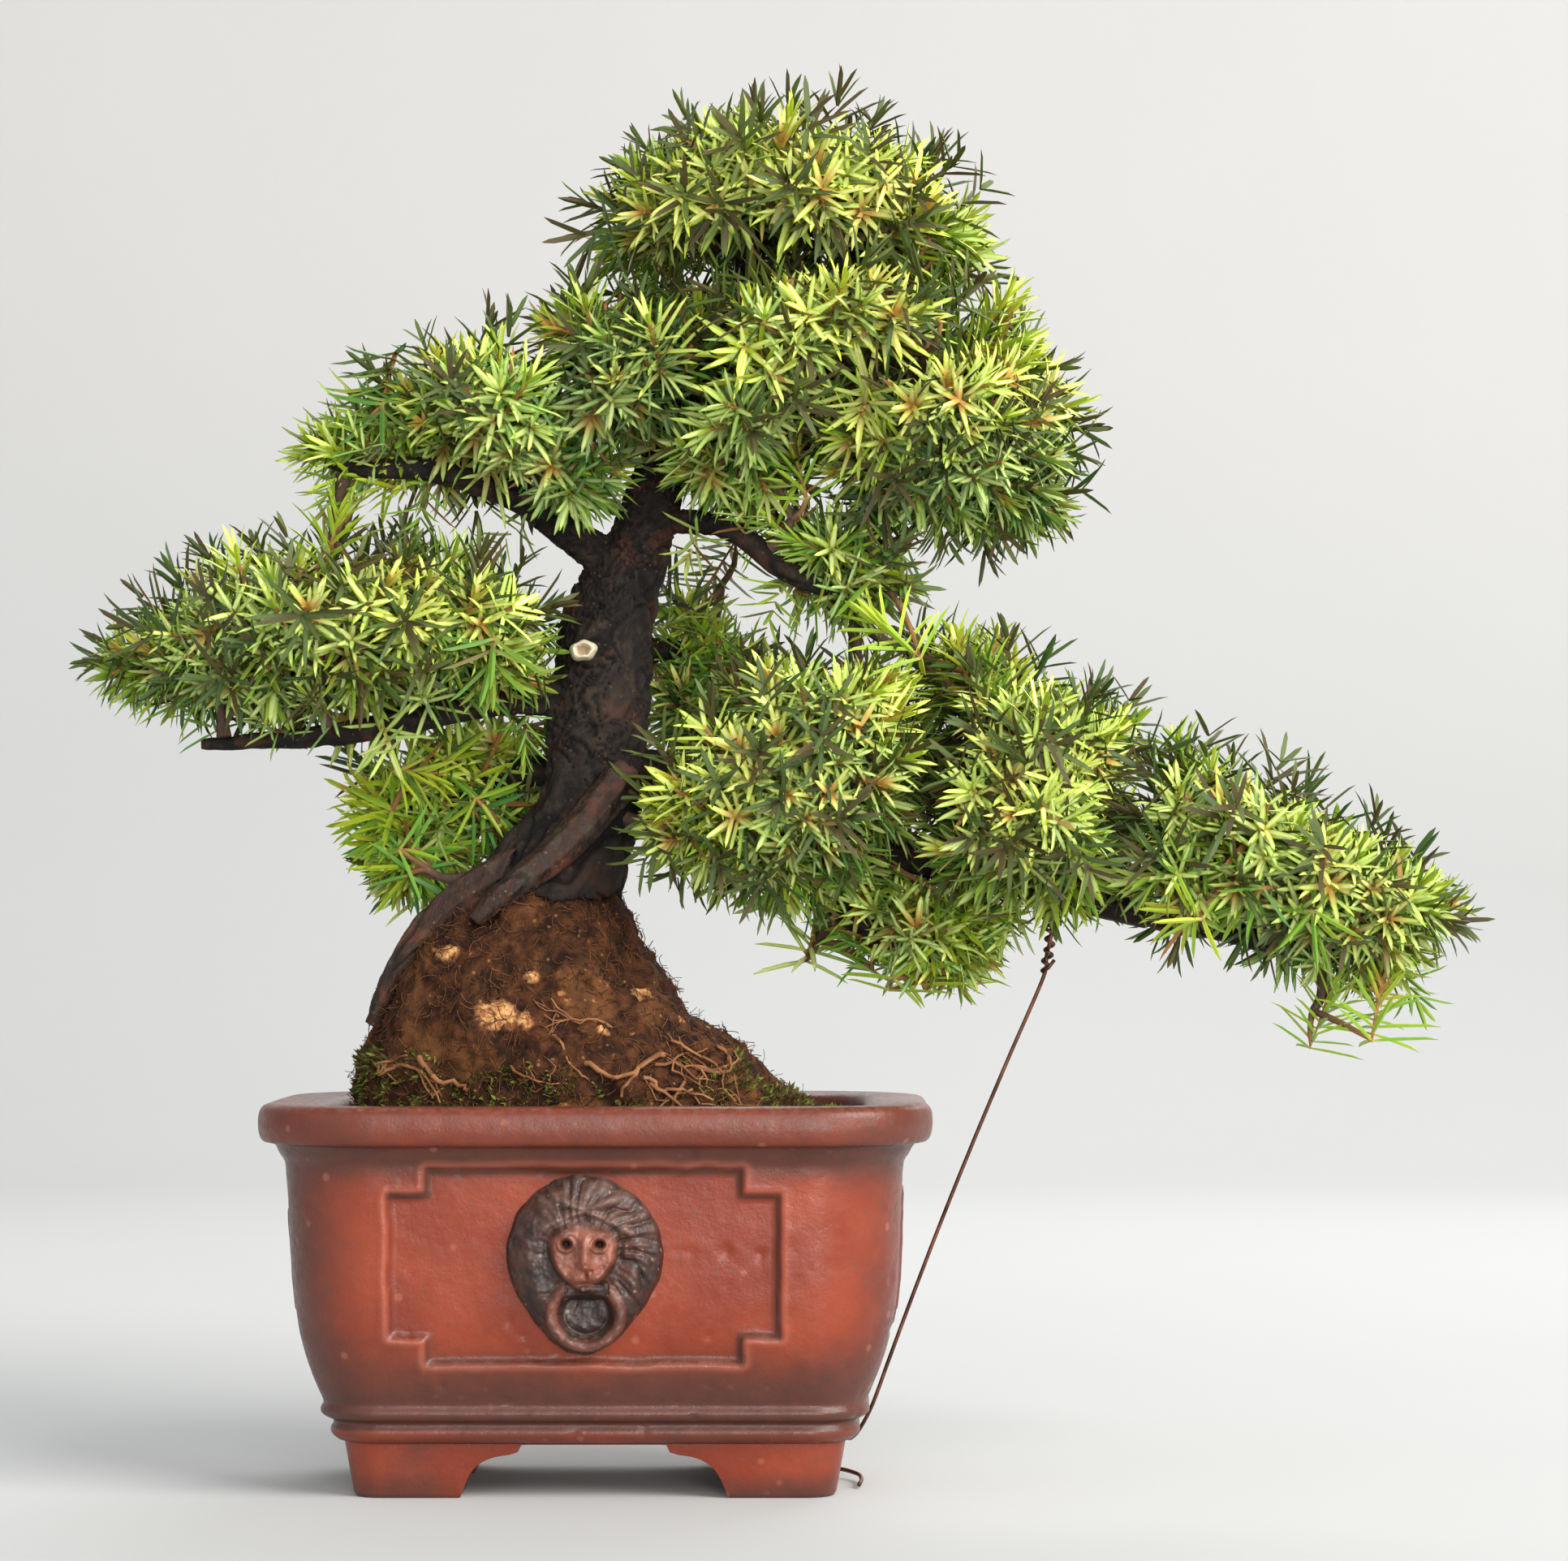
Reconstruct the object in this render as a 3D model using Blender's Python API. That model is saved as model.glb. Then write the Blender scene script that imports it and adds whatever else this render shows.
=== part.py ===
"""A small needle juniper bonsai that stands on a tall root mound in an unglazed clay pot.

Metres, +Z up. The parts are drawn with the origin on the ground under the middle of the pot,
and are then moved so that it is under the middle of the whole object. +X runs towards the
long falling branch, and -Y is the front.
"""

import math

import bmesh
import bpy
from mathutils import Matrix, Vector, noise

mm = 0.001

# Pot: overall sizes, then what can be set by itself.
pot_length = 90.2 * mm
pot_depth = 64.0 * mm
pot_height = 52.2 * mm
rim_corner_radius = 17.0 * mm
rim_height = 5.3 * mm
rim_width = 8.8 * mm
neck_height = 2.4 * mm
wall = 5.2 * mm
floor_thickness = 4.6 * mm
foot_height = 7.4 * mm
foot_length = 14.2 * mm
foot_depth = 11.0 * mm
moulding_height = 5.4 * mm
drain_radius = 3.8 * mm
panel_depth = 0.9 * mm
front_panel_size = (51.2 * mm, 25.4 * mm)
front_panel_shift = -1.0 * mm
side_panel_size = (27.0 * mm, 18.6 * mm)
side_panel_height = 0.45 * mm
panel_notch = (5.0 * mm, 3.6 * mm)
panel_top_gap = 0.6 * mm
corner_steps = 5

# Lion masks on the two long faces.
mask_width = 20.8 * mm
mask_height = 23.4 * mm
mask_depth = 5.0 * mm
mask_rise = 0.9 * mm
mask_triangles = 620

# Drain mesh over the hole in the pot's floor, and the wire clip that holds it.
mesh_pitch = 3.0 * mm
mesh_bar = 0.9 * mm
mesh_cells = 5
mesh_thickness = 1.0 * mm
clip_radius = 0.35 * mm
clip_foot = 1.4 * mm

# Soil, mound and moss.
soil_drop = 5.2 * mm
mound_height = 33.4 * mm
tree_height = 142.6 * mm
drawn_tree_height = 142.6 * mm

# Guy wire from the long branch to the pot's back right foot.
wire_radius = 0.28 * mm
wire_gap = 0.45 * mm
wire_anchor = 5

clearance = 0.3 * mm
pad_voxel = 2.0 * mm
pad_triangles = 170
pad_fullness = (1.07, 1.34, 1.07)
through = 20 * mm

foot_bottom_inset = 13.0 * mm
foot_top_inset = 11.7 * mm
body_foot_inset = 5.8 * mm
body_top_inset = 3.8 * mm
belly_inset = 3.0 * mm
belly_height = 14.0 * mm

soil_top = pot_height - soil_drop
floor_top = foot_height + floor_thickness
body_bottom = foot_height + moulding_height
body_top = pot_height - rim_height - neck_height
drawn = tree_height / drawn_tree_height * mm


def clear_scene():
    for thing in list(bpy.data.objects):
        bpy.data.objects.remove(thing)


def material(name, color, roughness, metallic=0.0):
    made = bpy.data.materials.new(name)
    made.use_nodes = True
    shader = made.node_tree.nodes["Principled BSDF"]
    shader.inputs["Base Color"].default_value = (*color, 1.0)
    shader.inputs["Roughness"].default_value = roughness
    shader.inputs["Metallic"].default_value = metallic
    return made


def add(name, mesh, finish=None):
    """Puts a mesh in the scene. Without a finish it is a helper, which isn't part of the object."""
    made = bpy.data.objects.new(name, mesh)
    bpy.context.scene.collection.objects.link(made)
    if finish:
        mesh.materials.append(finish)
        mesh.shade_smooth()
        mesh.set_sharp_from_angle(angle=math.radians(35))
    else:
        made.hide_render = True
        made.display_type = "WIRE"
    return made


def mesh_of(name, bm):
    bmesh.ops.recalc_face_normals(bm, faces=bm.faces)
    made = bpy.data.meshes.new(name)
    bm.to_mesh(made)
    bm.free()
    return made


def settled(source, name):
    """The mesh that an object shows with its modifiers, or that a curve makes."""
    bpy.context.view_layer.update()
    graph = bpy.context.evaluated_depsgraph_get()
    made = bpy.data.meshes.new_from_object(source.evaluated_get(graph))
    bm = bmesh.new()
    bm.from_mesh(made)
    bmesh.ops.remove_doubles(bm, verts=bm.verts, dist=0.001 * mm)
    return mesh_of(name, bm)


def boolean(target, cutter, operation="DIFFERENCE"):
    change = target.modifiers.new(operation.title() + " " + cutter.name, "BOOLEAN")
    change.operation = operation
    change.object = cutter
    change.solver = "EXACT"
    return change


def rounded_ring(half_length, half_depth, radius, height, steps=corner_steps):
    """The corners of a rectangle with round corners, anticlockwise, at one height."""
    points = []
    for side_x, side_y, start in ((1, 1, 0), (-1, 1, 90), (-1, -1, 180), (1, -1, 270)):
        centre = Vector((side_x * (half_length - radius), side_y * (half_depth - radius), height))
        for step in range(steps + 1):
            angle = math.radians(start + 90 * step / steps)
            points.append(centre + radius * Vector((math.cos(angle), math.sin(angle), 0)))
    return points


def pot_ring(height, inset):
    radius = max(rim_corner_radius - inset, 2.5 * mm)
    return rounded_ring(pot_length / 2 - inset, pot_depth / 2 - inset, radius, height)


def loft(name, rings):
    """One closed skin over a stack of rings, with a flat face at each end."""
    bm = bmesh.new()
    loops = [[bm.verts.new(point) for point in ring] for ring in rings]
    for low, high in zip(loops, loops[1:]):
        for i in range(len(low)):
            j = (i + 1) % len(low)
            bm.faces.new((low[i], low[j], high[j], high[i]))
    bm.faces.new(list(reversed(loops[0])))
    bm.faces.new(loops[-1])
    return mesh_of(name, bm)


def prism(name, outline, along, length, middle=Vector((0, 0, 0))):
    """An outline drawn as (sideways, up) points, pulled both ways along X or Y."""
    bm = bmesh.new()
    def place(side, up, out):
        point = (out, side, up) if along == "X" else (side, out, up)
        return bm.verts.new(middle + Vector(point))
    near = bm.faces.new([place(side, up, -length / 2) for side, up in outline])
    pulled = bmesh.ops.extrude_face_region(bm, geom=[near])
    far = [v for v in pulled["geom"] if isinstance(v, bmesh.types.BMVert)]
    step = Vector((length, 0, 0)) if along == "X" else Vector((0, length, 0))
    bmesh.ops.translate(bm, verts=far, vec=step)
    return mesh_of(name, bm)


# The pot


def body_inset(height):
    """How far the body's face stands in from the rim's outer face."""
    share = (height - body_bottom) / (body_top - body_bottom)
    line = body_foot_inset + (body_top_inset - body_foot_inset) * share
    below = max(0.0, 1 - (height - body_bottom) / belly_height)
    return line + belly_inset * below**2


def outer_profile(outset=0.0):
    """(height, inset) from the ground up the outside of the pot, to the rim's top."""
    waist = body_foot_inset + belly_inset
    bead = moulding_height / 2
    lower, upper = foot_height, foot_height + bead
    profile = [(0.0, foot_bottom_inset), (0.5 * mm, foot_bottom_inset - 0.3 * mm)]
    profile += [(lower - 0.1 * mm, foot_top_inset)]
    profile += [(lower + 0.1 * mm, waist + 1.7 * mm), (lower + 0.45 * bead, waist + 0.9 * mm)]
    profile += [(upper - 0.15 * bead, waist + 1.3 * mm), (upper, waist + 0.9 * mm)]
    profile += [(upper + 0.5 * bead, waist - 0.4 * mm), (body_bottom - 0.15 * bead, waist + 0.1 * mm)]
    for share in (0.0, 0.05, 0.12, 0.22, 0.36, 0.52, 0.76, 1.0):
        height = body_bottom + share * (body_top - body_bottom)
        profile.append((height, body_inset(height)))
    rim_bottom = pot_height - rim_height
    profile += [(body_top + 0.5 * neck_height, body_top_inset - 0.7 * mm)]
    profile += [(rim_bottom, body_top_inset - 1.4 * mm)]
    profile += [(rim_bottom + 0.1 * mm, 1.1 * mm), (rim_bottom + 0.8 * mm, 0.25 * mm)]
    profile += [(rim_bottom + 1.8 * mm, 0.0), (pot_height - 0.9 * mm, 0.0)]
    profile += [(pot_height - 0.25 * mm, 0.5 * mm), (pot_height, 1.4 * mm)]
    return [(height, inset - outset) for height, inset in profile]


def inner_profile(gap=0.0):
    """(height, inset) down the inside of the pot, from the rim's top to the floor."""
    mouth = rim_width + gap
    profile = [(pot_height, mouth - 1.0 * mm), (pot_height - 0.3 * mm, mouth - 0.3 * mm)]
    profile += [(pot_height - 1.2 * mm, mouth)]
    for share in (0.96, 0.5, 0.12):
        height = floor_top + share * (body_top - floor_top)
        profile.append((height, body_inset(max(height, body_bottom)) + wall + gap))
    corner = profile[-1][1]
    profile += [(floor_top + gap, corner + 2.6 * mm)]
    return profile


def bracket_arch(half_width, height):
    """The opening between two feet, as (sideways, up) points: flat on top, stepped, then curved."""
    step = 0.5 * half_width
    right = [(half_width + 0.6 * mm, -through / 4), (half_width, 0.0)]
    right += [(half_width - 1.4 * mm, 0.4 * height), (half_width - 3.0 * mm, 0.65 * height)]
    right += [(half_width - 5.2 * mm, 0.77 * height), (step + 2.0 * mm, 0.81 * height)]
    right += [(step + 1.0 * mm, 0.86 * height), (step, height)]
    return right + [(-side, up) for side, up in reversed(right)]


def notched_panel(size, middle, height):
    """A panel's outline with a square notch at each corner."""
    half_width, half_height = size[0] / 2, size[1] / 2
    notch_width, notch_height = panel_notch
    corner = [(half_width, half_height - notch_height)]
    corner += [(half_width - notch_width, half_height - notch_height)]
    corner += [(half_width - notch_width, half_height)]
    left = [(-side, up) for side, up in reversed(corner)]
    upper = corner + left
    lower = [(side, -up) for side, up in reversed(upper)]
    return [(middle + side, height + up) for side, up in upper + lower]


def body_solid(name, outset):
    """The outside of the pot as a solid, moved out or in by a little."""
    return loft(name, [pot_ring(height, inset) for height, inset in outer_profile(outset)])


def front_panel_middle():
    return body_top - panel_top_gap - front_panel_size[1] / 2


def pot(clay):
    rings = [pot_ring(height, inset) for height, inset in outer_profile() + inner_profile()]
    made = add("pot", loft("pot", rings), clay)

    core = add("panel_floor", body_solid("panel_floor", -panel_depth))
    outline = notched_panel(front_panel_size, 0.0, front_panel_middle())
    for name, facing, shift in (("front", -1, front_panel_shift), ("back", 1, -front_panel_shift)):
        middle = Vector((shift, facing * pot_depth / 2, 0))
        cutter = add(f"panel_cutter_{name}", prism("panel", outline, "Y", pot_depth / 2, middle))
        boolean(cutter, core)
        boolean(made, cutter)

    skin = add("side_panel_skin", body_solid("side_panel_skin", side_panel_height))
    outline = notched_panel(side_panel_size, 0.0, front_panel_middle())
    for name, facing in (("left", -1), ("right", 1)):
        middle = Vector((facing * (pot_length / 2 - 5.5 * mm), 0, 0))
        plaque = add(f"side_panel_{name}", prism("plaque", outline, "X", 4.5 * mm, middle))
        boolean(plaque, skin, "INTERSECT")
        boolean(made, plaque, "UNION")

    arch_height = foot_height - 0.2 * mm
    foot_end = pot_length / 2 - foot_bottom_inset
    foot_side = pot_depth / 2 - foot_bottom_inset
    across = prism("arch", bracket_arch(foot_end - foot_length, arch_height), "Y", pot_depth + through)
    boolean(made, add("arch_under_front", across))
    along = prism("arch", bracket_arch(foot_side - foot_depth, arch_height), "X", pot_length + through)
    boolean(made, add("arch_under_side", along))
    hole = rounded_ring(drain_radius, drain_radius, drain_radius, 0.0, 4)
    top = [point + Vector((0, 0, floor_top + 1 * mm)) for point in hole]
    boolean(made, add("drain_cutter", loft("drain_cutter", [hole, top])))
    return made


# The lion mask: a domed mane, a face with brow and muzzle, and a ring held in the mouth


def lion_mask(name, facing, clay):
    bm = bmesh.new()
    def lump(side, up, out, half_width, half_height, half_depth):
        place = Matrix.LocRotScale((side, out, up), None, (half_width, half_depth, half_height))
        bmesh.ops.create_icosphere(bm, subdivisions=3, radius=1.0, matrix=place)
    half_width, half_height = mask_width / 2, mask_height / 2
    lump(0, 0, 0, half_width, half_height, mask_depth * 0.62)
    lump(0, 0.12 * half_height, -0.45 * mask_depth, 0.46 * half_width, 0.44 * half_height, 0.42 * mask_depth)
    lump(0, -0.12 * half_height, -0.62 * mask_depth, 0.27 * half_width, 0.2 * half_height, 0.38 * mask_depth)
    lump(0, 0.52 * half_height, -0.4 * mask_depth, 0.5 * half_width, 0.26 * half_height, 0.34 * mask_depth)
    ring_centre = Vector((0, -0.74 * mask_depth, -0.52 * half_height))
    for step in range(20):
        angle = 2 * math.pi * step / 20
        around = Vector((math.cos(angle) * 0.42 * half_width, 0, math.sin(angle) * 0.36 * half_height))
        spot = ring_centre + around
        lump(spot.x, spot.z, spot.y, 1.15 * mm, 1.15 * mm, 1.15 * mm)
    mesh = mesh_of(name, bm)
    rough = add(name + "_rough", mesh)
    grow = rough.modifiers.new("Grow together", "REMESH")
    grow.mode = "VOXEL"
    grow.voxel_size = 0.6 * mm
    fine = settled(rough, name)
    plain = add(name + "_plain", fine)
    thin = plain.modifiers.new("Fewer faces", "DECIMATE")
    thin.ratio = min(1.0, mask_triangles / (2 * len(fine.polygons)))
    turn = Matrix.Rotation(math.pi if facing > 0 else 0.0, 4, "Z")
    seat = pot_depth / 2 - body_inset(front_panel_middle()) - panel_depth
    shift = Matrix.Translation((facing * -front_panel_shift, facing * seat, front_panel_middle() + mask_rise))
    shaped = settled(plain, name)
    shaped.transform(shift @ turn)
    made = add(name, shaped, clay)
    boolean(made, bpy.data.objects["mask_seat"])
    return made


# Drain mesh and clip


def drain_mesh(plastic):
    """A square plate with a grid of square holes, lying on the pot's floor."""
    half = mesh_cells * mesh_pitch / 2 + mesh_bar / 2
    low = floor_top + clearance
    bm = bmesh.new()
    place = Matrix.LocRotScale((0, 0, low + mesh_thickness / 2), None, (2 * half, 2 * half, mesh_thickness))
    bmesh.ops.create_cube(bm, size=1.0, matrix=place)
    made = add("drain_mesh", mesh_of("drain_mesh", bm), plastic)
    holes = bmesh.new()
    open_side = mesh_pitch - mesh_bar
    for column in range(mesh_cells):
        for row in range(mesh_cells):
            across = (column - (mesh_cells - 1) / 2) * mesh_pitch
            along = (row - (mesh_cells - 1) / 2) * mesh_pitch
            place = Matrix.LocRotScale((across, along, low), None, (open_side, open_side, 4 * mesh_thickness))
            bmesh.ops.create_cube(holes, size=1.0, matrix=place)
    boolean(made, add("mesh_holes", mesh_of("mesh_holes", holes)))
    return made


def curve_tube(name, points, radii, sides_step=1, tilts=None, profile=None, smooth=True):
    """A tapered tube along a smooth curve, as a curve object; its ends are capped."""
    data = bpy.data.curves.new(name, "CURVE")
    data.dimensions = "3D"
    data.resolution_u = 2
    data.use_fill_caps = True
    if profile:
        data.bevel_mode = "OBJECT"
        data.bevel_object = profile
    else:
        data.bevel_depth = 1.0
        data.bevel_resolution = sides_step
    spline = data.splines.new("BEZIER" if smooth else "POLY")
    spots = spline.bezier_points if smooth else spline.points
    spots.add(len(points) - 1)
    for i, (spot, point, radius) in enumerate(zip(spots, points, radii)):
        spot.co = point if smooth else (*point, 1.0)
        spot.radius = radius
        spot.tilt = tilts[i] if tilts else 0.0
        if smooth:
            spot.handle_left_type = spot.handle_right_type = "AUTO"
    made = bpy.data.objects.new(name, data)
    bpy.context.scene.collection.objects.link(made)
    made.hide_render = True
    made.display_type = "WIRE"
    return made


def mesh_clip(wire):
    """A staple over the mesh whose legs go down through the hole and turn out under the pot."""
    leg = mesh_pitch
    low = foot_height - 0.2 * mm - clearance - clip_radius
    high = floor_top + clearance + mesh_thickness + clearance + clip_radius
    bend = 0.5 * mm
    half = [(leg + clip_foot, low), (leg + bend, low), (leg, low + bend), (leg, high - bend), (leg - bend, high)]
    route = [Vector((side, 0, up)) for side, up in half]
    route += [Vector((-side, 0, up)) for side, up in reversed(half)]
    curve = curve_tube("mesh_clip_route", route, [clip_radius] * len(route), 2, smooth=False)
    return add("mesh_clip", settled(curve, "mesh_clip"), wire)


# Soil, mound and moss


def potting_soil(earth):
    """Fills the pot up to its level, with a recess over the drain mesh."""
    level = [(height, inset) for height, inset in inner_profile(clearance) if height < soil_top]
    top_inset = body_inset(soil_top) + wall + clearance
    profile = level[::-1] + [(soil_top - 0.8 * mm, top_inset), (soil_top, top_inset + 1.2 * mm)]
    made = add("potting_soil", loft("potting_soil", [pot_ring(h, i) for h, i in profile]), earth)
    half = mesh_cells * mesh_pitch / 2 + mesh_bar / 2 + 2 * clearance
    recess_height = 2 * (mesh_thickness + 3 * clearance + 2 * clip_radius)
    bm = bmesh.new()
    place = Matrix.LocRotScale((0, 0, floor_top + clearance), None, (2 * half, 2 * half, recess_height))
    bmesh.ops.create_cube(bm, size=1.0, matrix=place)
    boolean(made, add("mesh_recess", mesh_of("mesh_recess", bm)))
    return made


# (share of the mound's height, leftmost, rightmost, half depth), in drawn millimetres
mound_rings = [
    (0.0, -33.8, 31.6, 20.5),
    (0.12, -34.0, 29.4, 20.0),
    (0.24, -33.6, 24.4, 19.2),
    (0.36, -32.8, 19.4, 18.4),
    (0.5, -31.2, 13.2, 17.2),
    (0.65, -28.8, 8.6, 15.6),
    (0.8, -26.0, 5.0, 13.6),
    (0.92, -22.8, 3.0, 11.6),
    (1.0, -19.0, 2.2, 8.8),
]
mound_sides = 20
mound_roughness = 0.7 * mm


def mound_fit():
    """The mound narrows only where a shorter pot would leave it no room."""
    mouth = pot_length / 2 - body_inset(soil_top) - wall - 1.0 * mm
    side = pot_depth / 2 - body_inset(soil_top) - wall - 1.0 * mm
    widest = max(max(-left, right) for _, left, right, _ in mound_rings) * drawn
    deepest = max(half for _, _, _, half in mound_rings) * drawn
    return min(1.0, mouth / widest), min(1.0, side / deepest)


def mound_point(share, angle, swell=0.0):
    """A point on the mound's skin."""
    for (low, *narrow), (high, *wide) in zip(mound_rings, mound_rings[1:]):
        if share <= high:
            mix = (share - low) / (high - low)
            left, right, half = (a + (b - a) * mix for a, b in zip(narrow, wide))
            break
    fit_x, fit_y = mound_fit()
    keep = max(0.0, 1 - 2 * share)
    fit_x, fit_y = 1 - (1 - fit_x) * keep, 1 - (1 - fit_y) * keep
    middle, reach = (left + right) / 2 * drawn, (right - left) / 2 * drawn
    x = (middle + reach * math.cos(angle)) * fit_x + swell * math.cos(angle)
    y = half * drawn * math.sin(angle) * fit_y + swell * math.sin(angle)
    z = soil_top + clearance + share * mound_height
    lump = noise.noise(Vector((x, y, z)) / (9 * mm)) * mound_roughness * min(1.0, 6 * share)
    return Vector((x + lump * math.cos(angle), y + lump * math.sin(angle), z))


def root_mound(earth):
    rings = []
    for share, *_ in mound_rings:
        rings.append([mound_point(share, 2 * math.pi * i / mound_sides) for i in range(mound_sides)])
    return add("root_mound", loft("root_mound", rings), earth)


def moss(name, start, end, green):
    """A low cushion on the soil round part of the mound's foot, between two angles in degrees."""
    steps = 6
    sections = []
    for step in range(steps + 1):
        angle = math.radians(start + (end - start) * step / steps)
        taper = 0.35 + 0.65 * math.sin(math.pi * step / steps)
        outwards = Vector((math.cos(angle), math.sin(angle), 0))
        base = mound_point(0.0, angle, clearance)
        base.z = soil_top + clearance
        room = room_to_wall(base, outwards)
        width = min(4.4 * mm, room - clearance) * taper
        height = 3.6 * mm * taper
        upper = mound_point(min(0.2, height / mound_height), angle, 2.6 * clearance)
        foot = base + outwards * 1.6 * clearance
        back = Vector((upper.x, upper.y, base.z + height))
        crest = foot + outwards * width * 0.5 + Vector((0, 0, height * 0.8))
        toe = foot + outwards * width
        sections.append([foot, toe, crest, back])
    bm = bmesh.new()
    loops = [[bm.verts.new(point) for point in section] for section in sections]
    for near, far in zip(loops, loops[1:]):
        for i in range(4):
            j = (i + 1) % 4
            bm.faces.new((near[i], near[j], far[j], far[i]))
    bm.faces.new(loops[0])
    bm.faces.new(list(reversed(loops[-1])))
    made = add(name, mesh_of(name, bm), green)
    boolean(made, bpy.data.objects["mound_cutter"])
    return made


def room_to_wall(point, outwards):
    """How far a point is from the pot's inner wall, going outwards."""
    inset = body_inset(soil_top) + wall + clearance
    half_length, half_depth = pot_length / 2 - inset, pot_depth / 2 - inset
    radius = max(rim_corner_radius - inset, 2.5 * mm)
    far = 0.0
    while far < pot_length:
        spot = point + outwards * far
        dx = max(abs(spot.x) - (half_length - radius), 0.0)
        dy = max(abs(spot.y) - (half_depth - radius), 0.0)
        if math.hypot(dx, dy) > radius:
            return far
        far += 0.1 * mm
    return far


# Wood. Points are (x, y, height above the soil) in drawn millimetres, with a radius.

trunk_route = [
    (-6.6, 0.0, 32.0, 11.8),
    (-5.0, 0.0, 36.5, 9.8),
    (-1.8, 0.0, 43.0, 7.9),
    (-0.8, 0.2, 49.3, 7.0),
    (-0.8, 0.5, 57.0, 7.5),
    (-0.4, 0.4, 63.4, 7.4),
    (0.7, 0.0, 70.0, 7.0),
    (3.0, -0.3, 75.6, 6.0),
    (5.4, -0.4, 81.2, 4.8),
    (6.8, 0.0, 86.8, 4.3),
    (8.6, 0.6, 92.0, 3.9),
    (12.4, 1.4, 98.4, 3.5),
    (15.9, 2.0, 106.0, 3.0),
    (18.2, 2.2, 114.6, 2.5),
    (21.3, 2.0, 123.0, 1.8),
    (23.4, 1.6, 129.4, 1.0),
]
trunk_lobes = 3
trunk_lobe_depth = 0.16
trunk_twist = 0.34

branch_routes = {
    "branch_left_low": [(-1.0, 0.0, 60.0, 3.4), (-8.0, -3.0, 60.6, 3.0), (-16.0, -6.0, 59.4, 2.5),
                        (-26.0, -8.0, 56.8, 2.1), (-37.0, -8.5, 54.6, 1.7), (-47.0, -8.0, 53.8, 1.3),
                        (-54.0, -7.0, 53.6, 0.8)],
    "branch_left_back": [(-1.0, 2.0, 48.0, 2.8), (-9.0, 6.0, 50.5, 2.4), (-17.0, 9.5, 48.6, 1.9),
                         (-25.0, 12.5, 45.4, 1.4), (-31.0, 14.0, 43.4, 0.8)],
    "branch_left_upper": [(3.0, 0.0, 78.0, 3.0), (-4.6, -2.0, 83.0, 2.5), (-10.0, -5.0, 86.8, 2.2),
                          (-17.0, -8.5, 89.2, 1.9), (-25.4, -10.5, 91.0, 1.7), (-32.0, -10.0, 90.8, 1.3),
                          (-37.0, -8.0, 91.8, 0.7)],
    "branch_crown_left": [(14.0, 1.6, 101.0, 2.4), (6.0, -1.0, 104.0, 2.0), (-1.0, -4.0, 105.0, 1.5),
                          (-7.0, -6.0, 106.0, 0.8)],
    "branch_crown_right": [(10.8, 1.0, 95.4, 3.0), (19.0, -1.0, 99.0, 2.6), (30.0, -3.0, 101.4, 2.1),
                           (42.0, -3.0, 100.4, 1.6), (53.0, -2.0, 97.0, 0.8)],
    "branch_crown_back": [(12.0, 1.4, 98.0, 2.4), (13.0, 10.0, 103.0, 2.0), (16.0, 18.0, 107.0, 1.4),
                          (22.0, 23.0, 110.0, 0.8)],
    "branch_right_upper": [(6.0, -0.4, 84.4, 2.0), (13.0, -3.0, 84.4, 1.8), (19.0, -5.0, 82.4, 1.7),
                           (24.0, -6.0, 78.4, 1.6), (29.0, -6.0, 75.6, 1.3), (34.0, -5.0, 74.0, 0.7)],
    "branch_right_back": [(0.4, 2.0, 65.0, 2.4), (6.0, 10.0, 67.4, 1.9), (11.0, 16.0, 68.0, 1.4),
                          (15.0, 21.0, 67.4, 0.8)],
    "branch_cascade": [(-0.6, 1.0, 51.0, 4.6), (9.0, 4.0, 48.6, 4.2), (20.0, 5.0, 44.0, 3.7),
                       (32.0, 3.6, 40.6, 3.4), (44.0, 1.6, 38.4, 3.0), (61.2, 0.2, 34.2, 2.6),
                       (71.0, -0.4, 31.6, 2.3), (81.0, -1.4, 29.2, 2.0), (93.0, -2.6, 26.4, 1.6),
                       (103.0, -3.6, 24.8, 1.2), (110.0, -4.4, 24.6, 0.7)],
    "branch_cascade_lower": [(26.0, 4.6, 42.0, 2.4), (31.0, 2.0, 35.0, 2.1), (36.0, 0.0, 28.6, 1.8),
                             (42.0, 0.0, 25.8, 1.4), (48.5, 1.0, 24.6, 0.8)],
    "root_left": [(-9.0, -3.0, 37.4, 3.8), (-15.0, -4.0, 34.8, 3.2), (-20.6, -4.4, 31.2, 2.9),
                  (-25.4, -4.4, 26.0, 2.5), (-28.8, -4.0, 20.4, 2.0), (-31.0, -3.4, 15.2, 1.5)],
    "root_front": [(3.4, -4.6, 50.0, 3.0), (-1.6, -8.2, 43.0, 2.9), (-7.4, -10.2, 37.2, 2.5),
                   (-12.4, -10.8, 33.4, 2.1), (-16.6, -10.8, 29.4, 1.2)],
}
branch_parents = {"branch_cascade_lower": "branch_cascade", "root_front": "root_left"}
stub_route = [(-1.6, -5.0, 66.0, 1.3), (-2.2, -8.6, 66.4, 1.25), (-2.5, -10.0, 66.5, 1.1)]


def on_tree(x, y, height):
    return Vector((x * drawn, y * drawn, soil_top + height * drawn))


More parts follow.
